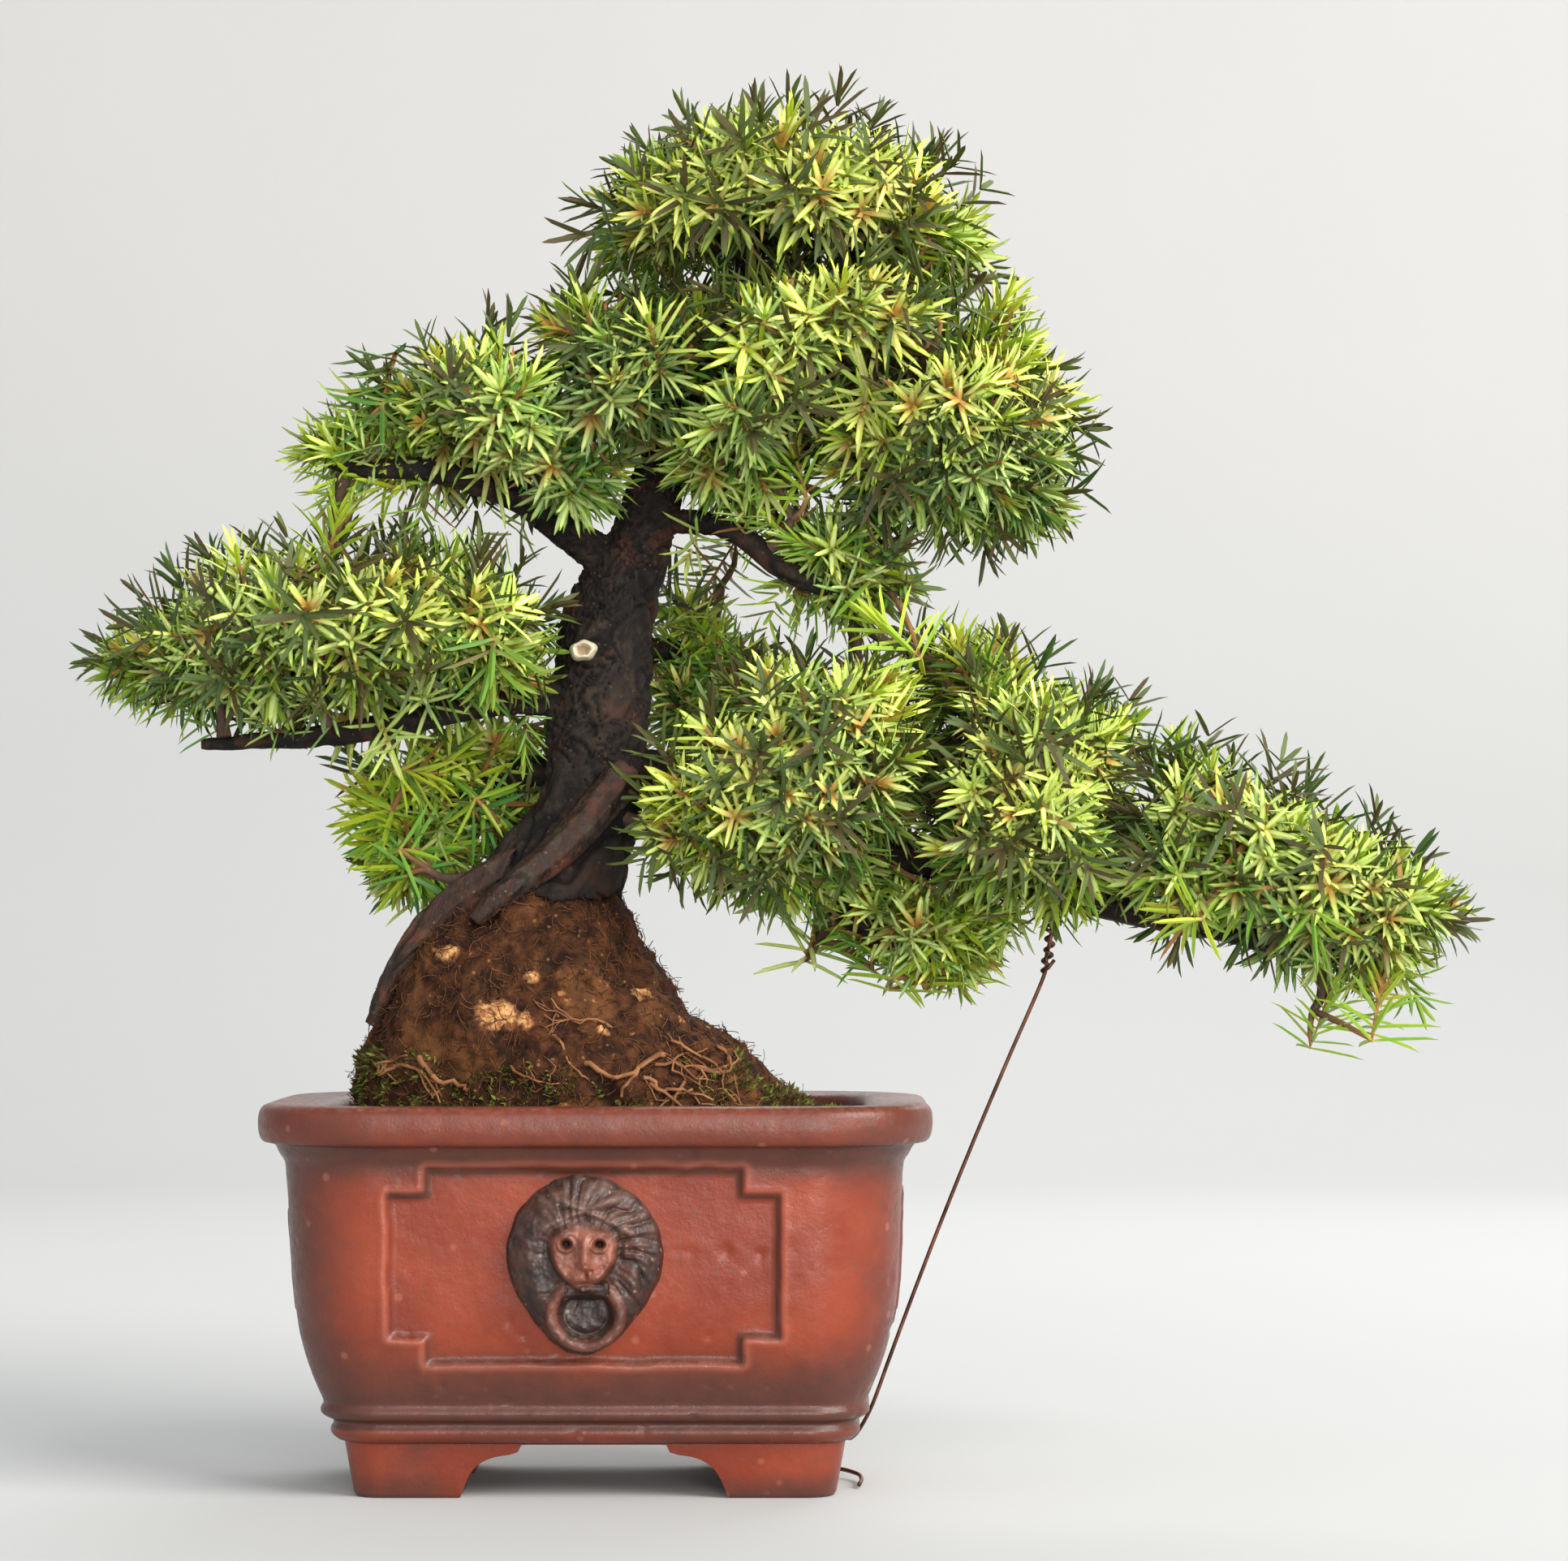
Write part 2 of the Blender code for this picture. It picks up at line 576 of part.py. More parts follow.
def lobed_profile(name, grown=0.0):
    """The trunk's cross-section, of radius 1: a few rounded lobes, like roots grown together."""
    data = bpy.data.curves.new(name, "CURVE")
    data.dimensions = "2D"
    spline = data.splines.new("POLY")
    sides = 11
    spline.points.add(sides - 1)
    for i in range(sides):
        angle = 2 * math.pi * i / sides
        radius = 1 - trunk_lobe_depth / 2 + trunk_lobe_depth / 2 * math.cos(trunk_lobes * angle) + grown
        spline.points[i].co = (radius * math.cos(angle), radius * math.sin(angle), 0, 1)
    spline.use_cyclic_u = True
    made = bpy.data.objects.new(name, data)
    bpy.context.scene.collection.objects.link(made)
    made.hide_render = True
    return made


def trunk_mesh(name, grow=0.0):
    points = [on_tree(x, y, height) for x, y, height, _ in trunk_route]
    radii = [radius * drawn + grow for *_, radius in trunk_route]
    tilts = [trunk_twist * i for i in range(len(points))]
    profile = lobed_profile(name + "_profile")
    return settled(curve_tube(name + "_curve", points, radii, 1, tilts, profile), name)


def branch_mesh(name, route, grow=0.0):
    points = [on_tree(x, y, height) for x, y, height, _ in route]
    radii = [radius * drawn + grow for *_, radius in route]
    if grow:
        points[-1] = points[-1] + (points[-1] - points[-2]).normalized() * grow
    return settled(curve_tube(name + "_curve", points, radii, 1), name)


def wood(bark, root_bark, pale):
    """Trunk, branches and roots. Each one is trimmed where it meets the one that it grows from."""
    made = {"trunk": add("trunk", trunk_mesh("trunk"), bark)}
    boolean(made["trunk"], bpy.data.objects["mound_cutter"])
    cutters = {"trunk": add("trunk_cutter", trunk_mesh("trunk_cutter", 2 * clearance))}
    for name, route in branch_routes.items():
        finish = root_bark if name.startswith("root") else bark
        made[name] = add(name, branch_mesh(name, route), finish)
        cutters[name] = add(name + "_cutter", branch_mesh(name + "_cutter", route, 1.6 * clearance))
        boolean(made[name], cutters[branch_parents.get(name, "trunk")])
        if name in branch_parents:
            boolean(made[name], cutters["trunk"])
    stub = add("pruned_stub", branch_mesh("pruned_stub", stub_route), pale)
    boolean(stub, cutters["trunk"])
    return made, cutters


# Foliage. Each pad is lumps of (x, y, height above the soil, half length, half depth, half height).

foliage_lumps = {
    "foliage_apex": [(8.4, 0.0, 129.4, 9, 14, 7), (18.0, 0.0, 133.6, 12, 18, 8.4), (29.0, 1.0, 134.4, 12, 18, 8.2),
                     (38.6, 1.0, 131.0, 10.6, 17, 8), (47.4, 1.0, 122.8, 8.6, 14, 8.6), (3.4, 0.0, 123.4, 8, 12, 6.4),
                     (14.0, -2.0, 125.4, 12, 16, 6.4), (27.0, -3.0, 126.4, 13, 18, 7.0), (40.0, 0.0, 123.4, 11, 17, 8.0)],
    "foliage_crown_left": [(-3.6, 0.0, 110.0, 8.4, 12, 8), (3.0, -2.0, 107.4, 11, 15, 9), (10.4, -4.0, 107.0, 11, 17, 9.5),
                           (0.6, -8.0, 100.4, 10, 11, 7)],
    "foliage_crown_middle": [(21.4, -5.0, 109.4, 12, 18, 10), (31.0, -4.0, 112.4, 13, 18, 10), (42.0, -2.0, 111.4, 12, 17, 10),
                             (20.4, -8.0, 100.6, 12, 14, 9), (16.6, -10.0, 92.6, 8.4, 8, 6.6),
                             (18.6, -5.0, 89.0, 9, 9, 4.6)],
    "foliage_crown_right": [(52.6, 0.0, 109.2, 10, 14, 10), (58.0, 0.0, 100.6, 9, 13, 10), (48.4, -4.0, 100.4, 13, 17, 10),
                            (37.6, -6.0, 98.4, 12, 16, 9), (57.6, 0.0, 92.0, 8, 11, 8), (48.4, -4.0, 89.6, 12, 14, 8),
                            (57.0, -2.0, 85.6, 8, 9, 4.6), (37.8, -4.0, 88.8, 10, 12, 8)],
    "foliage_crown_back": [(10.0, 22.0, 111.0, 13, 11, 13), (26.0, 26.0, 116.0, 15, 10, 13), (43.0, 21.0, 108.0, 12, 10, 12),
                           (22.0, 25.0, 102.0, 14, 9, 9)],
    "foliage_left_upper": [(-38.8, -6.0, 94.2, 4.8, 6, 5), (-33.0, -6.0, 92.4, 6.4, 8, 5), (-24.0, -5.0, 98.4, 9, 12, 8),
                           (-18.6, -5.0, 101.6, 10, 13, 9.2), (-11.0, -5.0, 99.6, 11, 14, 10), (-14.6, -8.0, 92.2, 8.4, 9, 5),
                           (-3.6, -9.0, 92.4, 8, 8, 6), (-2.0, -12.0, 87.0, 6, 5, 4.6),
                           (-28.0, -8.0, 89.8, 7.4, 6, 3.6)],
    "foliage_left_low": [(-64.4, -5.0, 64.6, 6.4, 8, 5.4), (-55.0, -5.0, 68.4, 10, 13, 9), (-47.0, -4.0, 71.0, 12, 15, 10.6),
                         (-36.4, -4.0, 70.4, 13, 17, 12), (-25.4, -4.0, 71.0, 12, 16, 11.4), (-15.6, -6.0, 71.0, 10.4, 12, 10),
                         (-54.0, -6.0, 60.8, 8.4, 9, 4.6), (-44.0, -6.0, 60.2, 10, 11, 5.6), (-31.0, -6.0, 59.8, 10, 11, 5.6), (-15.0, -8.0, 63.4, 8.4, 9, 6)],
    "foliage_left_back": [(-31.0, 14.0, 49.2, 7, 7, 4.4), (-23.4, 12.0, 51.0, 7, 7, 5.6), (-33.0, 14.0, 43.0, 6, 6, 4),
                          (-26.6, 13.0, 41.6, 6, 6, 4.6), (-28.8, 13.0, 35.2, 7, 6, 4.6), (-22.4, 13.0, 36.6, 6, 6, 4),
                          (-13.6, 10.0, 54.4, 8, 6, 4), (-12.0, 9.0, 44.0, 5.6, 5, 6)],
    "foliage_right_hanging": [(31.0, -3.0, 81.2, 9, 9, 7), (37.6, -3.0, 78.6, 7, 8, 7.4), (34.4, -4.0, 72.0, 6, 6.4, 6)],
    "foliage_right_back": [(10.6, 15.0, 73.2, 5.4, 6, 5), (14.8, 17.0, 68.6, 6.4, 6.4, 5), (12.8, 19.0, 64.4, 7, 7, 4.6), (10.0, 13.0, 58.6, 5.4, 5.4, 5),
                           (18.0, 17.0, 61.6, 7, 7, 5)],
    "foliage_cascade_near": [(10.8, -13.0, 44.0, 8.6, 8, 8.6), (18.0, -11.0, 49.4, 11, 11, 10), (26.8, -9.0, 55.8, 11, 12, 9),
                             (35.4, -6.0, 60.0, 10, 12, 8.6), (23.6, -4.0, 62.2, 8, 9, 5), (26.8, -12.0, 44.0, 12, 11, 11),
                             (37.6, -9.0, 49.4, 9, 11, 10), (14.0, -13.0, 37.6, 7, 6.6, 5), (23.6, -10.0, 35.6, 10, 9, 6)],
    "foliage_cascade_middle": [(50.8, 4.0, 63.2, 10, 12, 7.6), (57.4, -1.0, 57.0, 12, 15, 9), (66.0, -2.0, 52.8, 11, 14, 9),
                               (51.0, -7.0, 46.2, 9.4, 12, 10), (60.4, -8.0, 44.2, 12, 13, 10), (54.0, -9.0, 38.0, 9.4, 9, 6), (62.4, -7.6, 32.6, 6.6, 4.6, 4.4),
                               (64.8, -9.0, 39.0, 8, 8, 6.4)],
    "foliage_cascade_tip": [(77.0, -2.0, 47.2, 11, 13, 8.6), (87.6, -3.0, 43.0, 11, 13, 9), (98.4, -4.0, 37.6, 11, 13, 8.6),
                            (108.0, -4.0, 33.2, 10, 11, 8.6), (83.4, -4.0, 34.6, 10, 11, 8), (96.4, -5.0, 29.4, 9, 10, 6.6),
                            (105.0, -4.0, 25.8, 8, 9, 6.4), (114.4, -4.0, 31.0, 5, 6, 5), (73.0, -7.0, 37.8, 8, 8, 7)],
    "foliage_cascade_back": [(42.0, 14.0, 52.0, 11, 9, 9), (57.0, 15.0, 47.0, 11, 9, 8.4), (71.0, 12.0, 43.0, 10, 8, 7)],
    "foliage_cascade_under": [(36.0, 3.0, 32.0, 8, 8, 4.6), (43.4, 2.0, 28.4, 9, 8.6, 5), (49.8, 2.0, 24.2, 6, 6, 3.8),
                              (50.6, 3.0, 30.4, 7, 7, 4)],
}


def pad_rough(name, lumps):
    """The lumps grown together into one skin, with few faces."""
    bm = bmesh.new()
    for x, y, height, *half in lumps:
        size = Vector(side * full for side, full in zip(half, pad_fullness)) * drawn
        place = Matrix.LocRotScale(on_tree(x, y, height), None, size)
        bmesh.ops.create_icosphere(bm, subdivisions=2, radius=1.0, matrix=place)
    rough = add(name + "_lumps", mesh_of(name + "_lumps", bm))
    grow = rough.modifiers.new("Grow together", "REMESH")
    grow.mode = "VOXEL"
    grow.voxel_size = pad_voxel
    fine = settled(rough, name)
    plain = add(name + "_fine", fine)
    thin = plain.modifiers.new("Fewer faces", "DECIMATE")
    thin.ratio = min(1.0, pad_triangles / (2 * len(fine.polygons)))
    return settled(plain, name)


def grown(mesh, name, by):
    """A copy of a mesh with its skin moved outwards."""
    bm = bmesh.new()
    bm.from_mesh(mesh)
    bm.normal_update()
    for vertex, normal in [(v, v.normal.copy()) for v in bm.verts]:
        vertex.co += normal * by
    return mesh_of(name, bm)


def box_of(mesh):
    corners = [[v.co[axis] for v in mesh.vertices] for axis in range(3)]
    return [(min(values), max(values)) for values in corners]


def boxes_meet(first, second):
    pairs = zip(box_of(first), box_of(second))
    return all(a_low < b_high and b_low < a_high for (a_low, a_high), (b_low, b_high) in pairs)


def joined(name, pieces):
    """One mesh that holds the skins of several; they may run through each other."""
    bm = bmesh.new()
    for piece in pieces:
        bm.from_mesh(piece)
    made = bpy.data.meshes.new(name)
    bm.to_mesh(made)
    bm.free()
    return made


def foliage(green, cutters):
    """Pads of foliage. Each makes room for the wood, the wire and the pads made before it."""
    earlier = list(cutters)
    for name, lumps in foliage_lumps.items():
        shape = pad_rough(name, lumps)
        made = add(name, shape, green)
        near = [piece for piece in earlier if boxes_meet(shape, piece)]
        change = boolean(made, add(name + "_cutter", joined(name + "_cutter", near)))
        change.use_self = True
        earlier.append(grown(shape, name + "_room", 2 * clearance))


# The guy wire


def wire_route():
    """From its tail at the long branch, round the branch, down to the pot and round a back foot."""
    before, anchor, after = branch_routes["branch_cascade"][wire_anchor - 1:wire_anchor + 2]
    centre = on_tree(*anchor[:3])
    along = (on_tree(*after[:3]) - on_tree(*before[:3])).normalized()
    sideways = Vector((0, 1, 0))
    upwards = along.cross(sideways) * -1
    loop = anchor[3] * drawn + wire_radius + wire_gap
    turns = 1.25
    steps = 15
    route = []
    for step in range(steps + 1):
        angle = math.radians(-60) + 2 * math.pi * turns * step / steps
        lean = along * (step / steps - 0.5) * 3.0 * mm
        route.append(centre + lean + loop * (sideways * math.cos(angle) + upwards * math.sin(angle)))
    low = centre - Vector((0, 0, loop))
    route += [low + Vector((0.7, -0.8, -3.2)) * mm, low + Vector((0.1, 0.5, -6.2)) * mm]
    route += [low + Vector((-0.3, 0.2, -9.0)) * mm]

    foot_end = pot_length / 2 - foot_top_inset + wire_radius + wire_gap
    foot_side = pot_depth / 2 - foot_top_inset + wire_radius + wire_gap
    inner_end = pot_length / 2 - foot_bottom_inset - foot_length - 1.3 * mm
    inner_side = pot_depth / 2 - foot_bottom_inset - foot_depth - 1.3 * mm
    bead = pot_length / 2 - body_foot_inset - belly_inset + wire_radius + 2 * wire_gap
    start, end = route[-1], Vector((bead, 5.0 * mm, foot_height + 2.6 * mm))
    for share in (0.18, 0.36, 0.54, 0.72, 0.88):
        bow = math.sin(math.pi * share) * Vector((-0.8 * mm, 0.0, -0.4 * mm))
        route.append(start.lerp(end, share) + bow)
    corner = rim_corner_radius - foot_top_inset
    route += [end, Vector((foot_end + 1.6 * mm, 8.0 * mm, foot_height - 1.2 * mm))]
    route += [Vector((foot_end + 0.5 * mm, 11.0 * mm, foot_height - 2.8 * mm))]
    route += [Vector((foot_end, foot_side - corner, foot_height - 3.4 * mm))]
    for angle in (30, 60):
        turn = math.radians(angle)
        reach = corner + 0.1 * mm
        spot = Vector((foot_end - corner, foot_side - corner, foot_height - 3.6 * mm))
        route.append(spot + reach * Vector((math.cos(turn), math.sin(turn), 0)))
    route += [Vector((foot_end - corner, foot_side + 0.1 * mm, foot_height - 3.8 * mm))]
    # It goes in between the two back feet, behind the right one, and its end comes out at the side.
    route += [Vector((inner_end + 3.0 * mm, foot_side + 0.1 * mm, foot_height - 4.6 * mm))]
    route += [Vector((inner_end - 0.4 * mm, foot_side - 0.1 * mm, foot_height - 5.0 * mm))]
    route += [Vector((inner_end - 1.9 * mm, foot_side - 2.6 * mm, foot_height - 5.2 * mm))]
    route += [Vector((inner_end - 1.7 * mm, (foot_side + inner_side) / 2, foot_height - 5.4 * mm))]
    route += [Vector((inner_end - 1.4 * mm, inner_side - 0.6 * mm, 1.9 * mm))]
    route += [Vector((inner_end + 1.2 * mm, inner_side - 2.4 * mm, 1.7 * mm))]
    route += [Vector((inner_end + 6.0 * mm, inner_side - 2.6 * mm, 1.6 * mm))]
    route += [Vector((foot_end - 2.6 * mm, inner_side - 3.8 * mm, 1.4 * mm))]
    route += [Vector((foot_end + 0.9 * mm, inner_side - 6.6 * mm, 1.0 * mm))]
    route += [Vector((foot_end + 1.6 * mm, inner_side - 11.0 * mm, 0.8 * mm))]
    route += [Vector((foot_end + 1.2 * mm, inner_side - 16.0 * mm, 0.6 * mm))]
    return route


def smooth_points(route, count):
    """Points spaced evenly along a smooth curve through the route's points."""
    fine = []
    padded = [2 * route[0] - route[1]] + route + [2 * route[-1] - route[-2]]
    per_span = 12
    for before, start, end, after in zip(padded, padded[1:], padded[2:], padded[3:]):
        for step in range(per_span):
            t = step / per_span
            bend = (2 * before - 5 * start + 4 * end - after) * t * t
            swing = (-before + 3 * start - 3 * end + after) * t**3
            fine.append(0.5 * (2 * start + (end - before) * t + bend + swing))
    fine.append(route[-1])
    along = [0.0]
    for a, b in zip(fine, fine[1:]):
        along.append(along[-1] + (b - a).length)
    points, i = [], 0
    for step in range(count):
        wanted = along[-1] * step / (count - 1)
        while i < len(along) - 2 and along[i + 1] < wanted:
            i += 1
        span = max(along[i + 1] - along[i], 1e-12)
        points.append(fine[i].lerp(fine[i + 1], min(1.0, (wanted - along[i]) / span)))
    return points


def guy_wire(copper):
    points = smooth_points(wire_route(), 96)
    curve = curve_tube("guy_wire_route", points, [wire_radius] * len(points), 2, smooth=False)
    add("guy_wire", settled(curve, "guy_wire"), copper)
    room = [wire_radius + clearance * 1.2] * len(points)
    wider = curve_tube("guy_wire_room_route", points, room, 2, smooth=False)
    return add("guy_wire_room", settled(wider, "guy_wire_room"))


def centre_on_ground():
    """Moves everything, so that the origin is on the ground under the middle of the whole object."""
    bpy.context.view_layer.update()
    graph = bpy.context.evaluated_depsgraph_get()
    low, high = Vector((1, 1, 1)), Vector((-1, -1, -1))
    for thing in bpy.data.objects:
        if thing.hide_render:
            continue
        for corner in thing.evaluated_get(graph).bound_box:
            low = Vector(min(pair) for pair in zip(low, corner))
            high = Vector(max(pair) for pair in zip(high, corner))
    middle = Vector(((low.x + high.x) / 2, (low.y + high.y) / 2, low.z))
    for thing in bpy.data.objects:
        thing.location = -middle


def main():
    clear_scene()
    clay = material("red clay", (0.33, 0.075, 0.035), 0.42)
    dark_clay = material("dark brown clay", (0.085, 0.045, 0.035), 0.5)
    plastic = material("black mesh", (0.02, 0.02, 0.02), 0.7)
    copper = material("copper wire", (0.2, 0.09, 0.05), 0.4, 1.0)
    earth = material("potting soil", (0.04, 0.025, 0.015), 1.0)
    peat = material("fibrous mound", (0.1, 0.045, 0.02), 1.0)
    green_moss = material("moss", (0.08, 0.1, 0.02), 1.0)
    bark = material("dark bark", (0.045, 0.03, 0.022), 0.9)
    root_bark = material("root bark", (0.12, 0.05, 0.035), 0.8)
    pale = material("cut wood", (0.5, 0.42, 0.2), 0.7)
    needles = material("needles", (0.12, 0.27, 0.05), 0.45)

    pot(clay)
    add("mask_seat", body_solid("mask_seat", clearance - panel_depth))
    lion_mask("lion_mask_front", -1, dark_clay)
    lion_mask("lion_mask_back", 1, dark_clay)
    drain_mesh(plastic)
    mesh_clip(copper)
    potting_soil(earth)

    mound = root_mound(peat)
    add("mound_cutter", grown(mound.data, "mound_cutter", 2 * clearance))
    for name, start, end in (("front", 215, 325), ("left", 140, 212), ("right", -32, 30), ("back", 35, 136)):
        moss(f"moss_{name}", start, end, green_moss)

    made, cutters = wood(bark, root_bark, pale)
    for root in ("root_left", "root_front"):
        boolean(mound, cutters[root])
    wire_room = guy_wire(copper)
    wood_room = [cutter.data for cutter in cutters.values()]
    foliage(needles, wood_room + [wire_room.data, bpy.data.objects["mound_cutter"].data])
    centre_on_ground()


main()
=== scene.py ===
import bpy, bmesh, math
import numpy as np
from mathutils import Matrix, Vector
from mathutils.bvhtree import BVHTree


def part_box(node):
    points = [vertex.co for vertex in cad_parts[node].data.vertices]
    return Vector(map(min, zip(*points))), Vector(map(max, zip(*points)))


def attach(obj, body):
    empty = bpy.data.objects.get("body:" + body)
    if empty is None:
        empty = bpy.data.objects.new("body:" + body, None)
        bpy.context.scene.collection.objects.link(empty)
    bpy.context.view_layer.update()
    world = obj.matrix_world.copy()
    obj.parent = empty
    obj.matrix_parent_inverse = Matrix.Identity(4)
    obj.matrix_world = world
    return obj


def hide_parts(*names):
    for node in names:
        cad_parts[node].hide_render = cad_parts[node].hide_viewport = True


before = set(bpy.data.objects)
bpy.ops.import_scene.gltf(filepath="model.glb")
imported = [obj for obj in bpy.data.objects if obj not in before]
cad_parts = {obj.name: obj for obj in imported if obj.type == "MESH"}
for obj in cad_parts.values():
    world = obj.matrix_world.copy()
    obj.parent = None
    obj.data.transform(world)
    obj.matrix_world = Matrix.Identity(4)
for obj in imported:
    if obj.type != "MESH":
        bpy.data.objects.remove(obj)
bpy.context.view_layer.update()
scene = bpy.context.scene
mm = 0.001
low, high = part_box("pot")
potX, potY = (low.x + high.x) / 2, (low.y + high.y) / 2  # the pot isn't in the middle of the whole plant
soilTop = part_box("potting_soil")[1].z
potMid = np.array([potX, potY, 0.0])

camData = bpy.data.cameras.new("camera")
camData.lens = 100.1
camData.sensor_width = 36
camData.clip_start = 0.02
camera = bpy.data.objects.new("camera", camData)
camera.location = (potX + 25.2 * mm, potY - 600 * mm, 74.2 * mm)
camera.rotation_euler = (math.radians(92.07), 0, 0)
scene.collection.objects.link(camera)
scene.camera = camera


# even points on a smooth line through the route
def smoothLine(route, count):
    p = np.array(route, float)
    p = np.vstack([2 * p[0] - p[1], p, 2 * p[-1] - p[-2]])
    fine = []
    for a, b, c, d in zip(p, p[1:], p[2:], p[3:]):
        for t in np.linspace(0, 1, 12, endpoint=False):
            fine.append(0.5
                        * (2 * b + (c - a) * t + (2 * a - 5 * b + 4 * c - d) * t**2
                           + (3 * b - a - 3 * c + d) * t**3))
    fine = np.array(fine + [p[-2]])
    run = np.concatenate([[0], np.cumsum(np.linalg.norm(np.diff(fine, axis=0), axis=1))])
    at = np.linspace(0, run[-1], count)
    return np.stack([np.interp(at, run, fine[:, i]) for i in range(3)], 1), run[-1]


wireSet = dict(radius=0.28, anchor=(61.2, 0.2, 81.2), slope=(0.9663, -0.0426, -0.2539), loop=3.33,
               count=210)


# millimetres from the pot's middle: round the branch, down, and round the back foot
def wireRoute(s):
    mid, along = np.array(s["anchor"]), np.array(s["slope"])
    along = along / np.linalg.norm(along)
    side = np.array([0, 1.0, 0])
    up = -np.cross(along, side)
    route = []
    for i in range(16):
        a = math.radians(-60) + 2.5 * math.pi * i / 15
        route.append(mid + along * (i / 15 - 0.5) * 3 + s["loop"] * (side * math.cos(a) + up * math.sin(a)))
    foot = mid - np.array([0, 0, s["loop"]])
    route += [foot + (0.7, -0.8, -3.2), foot + (0.1, 0.5, -6.2), foot + (-0.3, 0.2, -9.0)]
    start, end = route[-1], np.array([37.48, 5.0, 10.0])
    for t in (0.18, 0.36, 0.54, 0.72, 0.88):
        route.append(start + (end - start) * t + np.array([-0.8, 0, -0.4]) * math.sin(math.pi * t))
    route += [end, (35.73, 8.0, 6.2), (34.63, 11.0, 4.6), (34.13, 15.73, 4.0)]
    route += [(28.83 + 5.4 * math.cos(math.radians(a)), 15.73 + 5.4 * math.sin(math.radians(a)), 3.8)
              for a in (30, 60)]
    route += [(28.83, 21.13, 3.6), (19.6, 21.13, 2.8), (16.2, 20.93, 2.4), (14.7, 18.43, 2.2),
              (14.9, 13.86, 2.0)]
    route += [(15.2, 6.1, 1.9), (17.8, 4.3, 1.7), (22.6, 4.1, 1.6), (31.53, 2.9, 1.4), (35.03, 0.1, 1.0)]
    route += [(35.73, -4.3, 0.8), (35.33, -9.3, 0.6)]
    return np.array([np.array(r) for r in route]) * mm + potMid


wirePoints, wireLength = smoothLine(wireRoute(wireSet), wireSet["count"])
print("wire", round(wireLength * 1000, 1), "mm")

world = bpy.data.worlds.new("studio")
scene.world = world
world.use_nodes = True
worldTree = world.node_tree
sky = worldTree.nodes["Background"]
sky.inputs["Color"].default_value = (0.93, 0.96, 1.0, 1)
sky.inputs["Strength"].default_value = 0.5
scene.view_settings.view_transform = "Standard"


def areaLight(name, place, look, size, power, color):
    data = bpy.data.lights.new(name, "AREA")
    data.shape = "RECTANGLE"
    data.size, data.size_y = size
    data.energy = power
    data.color = color
    lamp = bpy.data.objects.new(name, data)
    lamp.location = place
    lamp.rotation_euler = (Vector(look) - Vector(place)).to_track_quat("-Z", "Y").to_euler()
    scene.collection.objects.link(lamp)


areaLight("key", (1.75, -1.4, 1.35), (0, 0, 0.09), (1.7, 1.5), 96, (1.0, 0.965, 0.92))
areaLight("front", (0.0, -1.7, 0.75), (0, 0, 0.12), (1.1, 0.8), 8, (1.0, 0.99, 0.96))
areaLight("panel", (0.22, -1.1, 0.12), (potX, 0, 0.04), (0.3, 0.2), 4.4, (1.0, 0.98, 0.95))
areaLight("fill", (-0.75, -0.6, 0.35), (0, 0, 0.08), (0.7, 0.5), 0.9, (0.93, 0.97, 1.0))
areaLight("back", (0.25, 0.6, 0.6), (0, 0, 0.12), (0.6, 0.4), 3.0, (1.0, 1.0, 1.0))


# a floor that curves up into a wall
def backdropSweep():
    bm = bmesh.new()
    profile = [(-1.6, 0.0), (0.7, 0.0)] + [(0.7 + 0.5 * math.sin(a), 0.5 - 0.5 * math.cos(a))
                                           for a in np.linspace(0.1, math.pi / 2, 14)]
    profile += [(1.2, 2.4)]
    rows = [[bm.verts.new((x, y, z)) for x in (-2.4, 2.4)] for y, z in profile]
    for a, b in zip(rows, rows[1:]):
        bm.faces.new((a[0], a[1], b[1], b[0]))
    mesh = bpy.data.meshes.new("backdrop")
    bm.to_mesh(mesh)
    mesh.shade_smooth()
    made = bpy.data.objects.new("backdrop", mesh)
    scene.collection.objects.link(made)
    return made


backdrop = backdropSweep()


# a repeatable random value for each lattice cell
def lattice(cells, seed):
    n = (cells[..., 0] * 374761393 + cells[..., 1] * 668265263 + cells[..., 2] * 2147483647 + seed
         * 1274126177)
    n = (n ^ (n >> 13)) * 1274126177
    n = n ^ (n >> 16)
    return (n & 0xFFFFFF) / 0xFFFFFF


# smooth noise from -1 to 1 with features of about that size
def softNoise(points, size, seed=0):
    q = np.asarray(points, float) / size + 1000.0
    base = np.floor(q).astype(np.int64)
    f = q - base
    f = f * f * (3 - 2 * f)
    total = 0
    for corner in np.ndindex(2, 2, 2):
        weight = np.prod([f[..., i] if corner[i] else 1 - f[..., i] for i in range(3)], axis=0)
        total = total + weight * lattice(base + np.array(corner), seed)
    return total * 2 - 1


def roughNoise(points, size, seed=0, octaves=4):
    return sum(softNoise(points, size / 2**i, seed + i) * 0.5**i for i in range(octaves))


def ease(low, high, x):
    t = np.clip((x - low) / (high - low), 0, 1)
    return t * t * (3 - 2 * t)


def bump(x, z, at, width, height):
    return np.exp(-(((x - at[0]) / width) ** 2) - ((z - at[1]) / height) ** 2)


def meshFrom(name, verts, faces, attributes=None, smooth=True):
    mesh = bpy.data.meshes.new(name)
    mesh.from_pydata(np.asarray(verts).tolist(), [], faces if isinstance(faces, list) else faces.tolist())
    for key, values in (attributes or {}).items():
        values = np.asarray(values, np.float32)
        kind = "FLOAT_VECTOR" if values.ndim > 1 else "FLOAT"
        mesh.attributes.new(key, kind, "POINT").data.foreach_set(
            "vector" if values.ndim > 1 else "value", values.ravel())
    if smooth:
        mesh.shade_smooth()
    mesh.update()
    return mesh


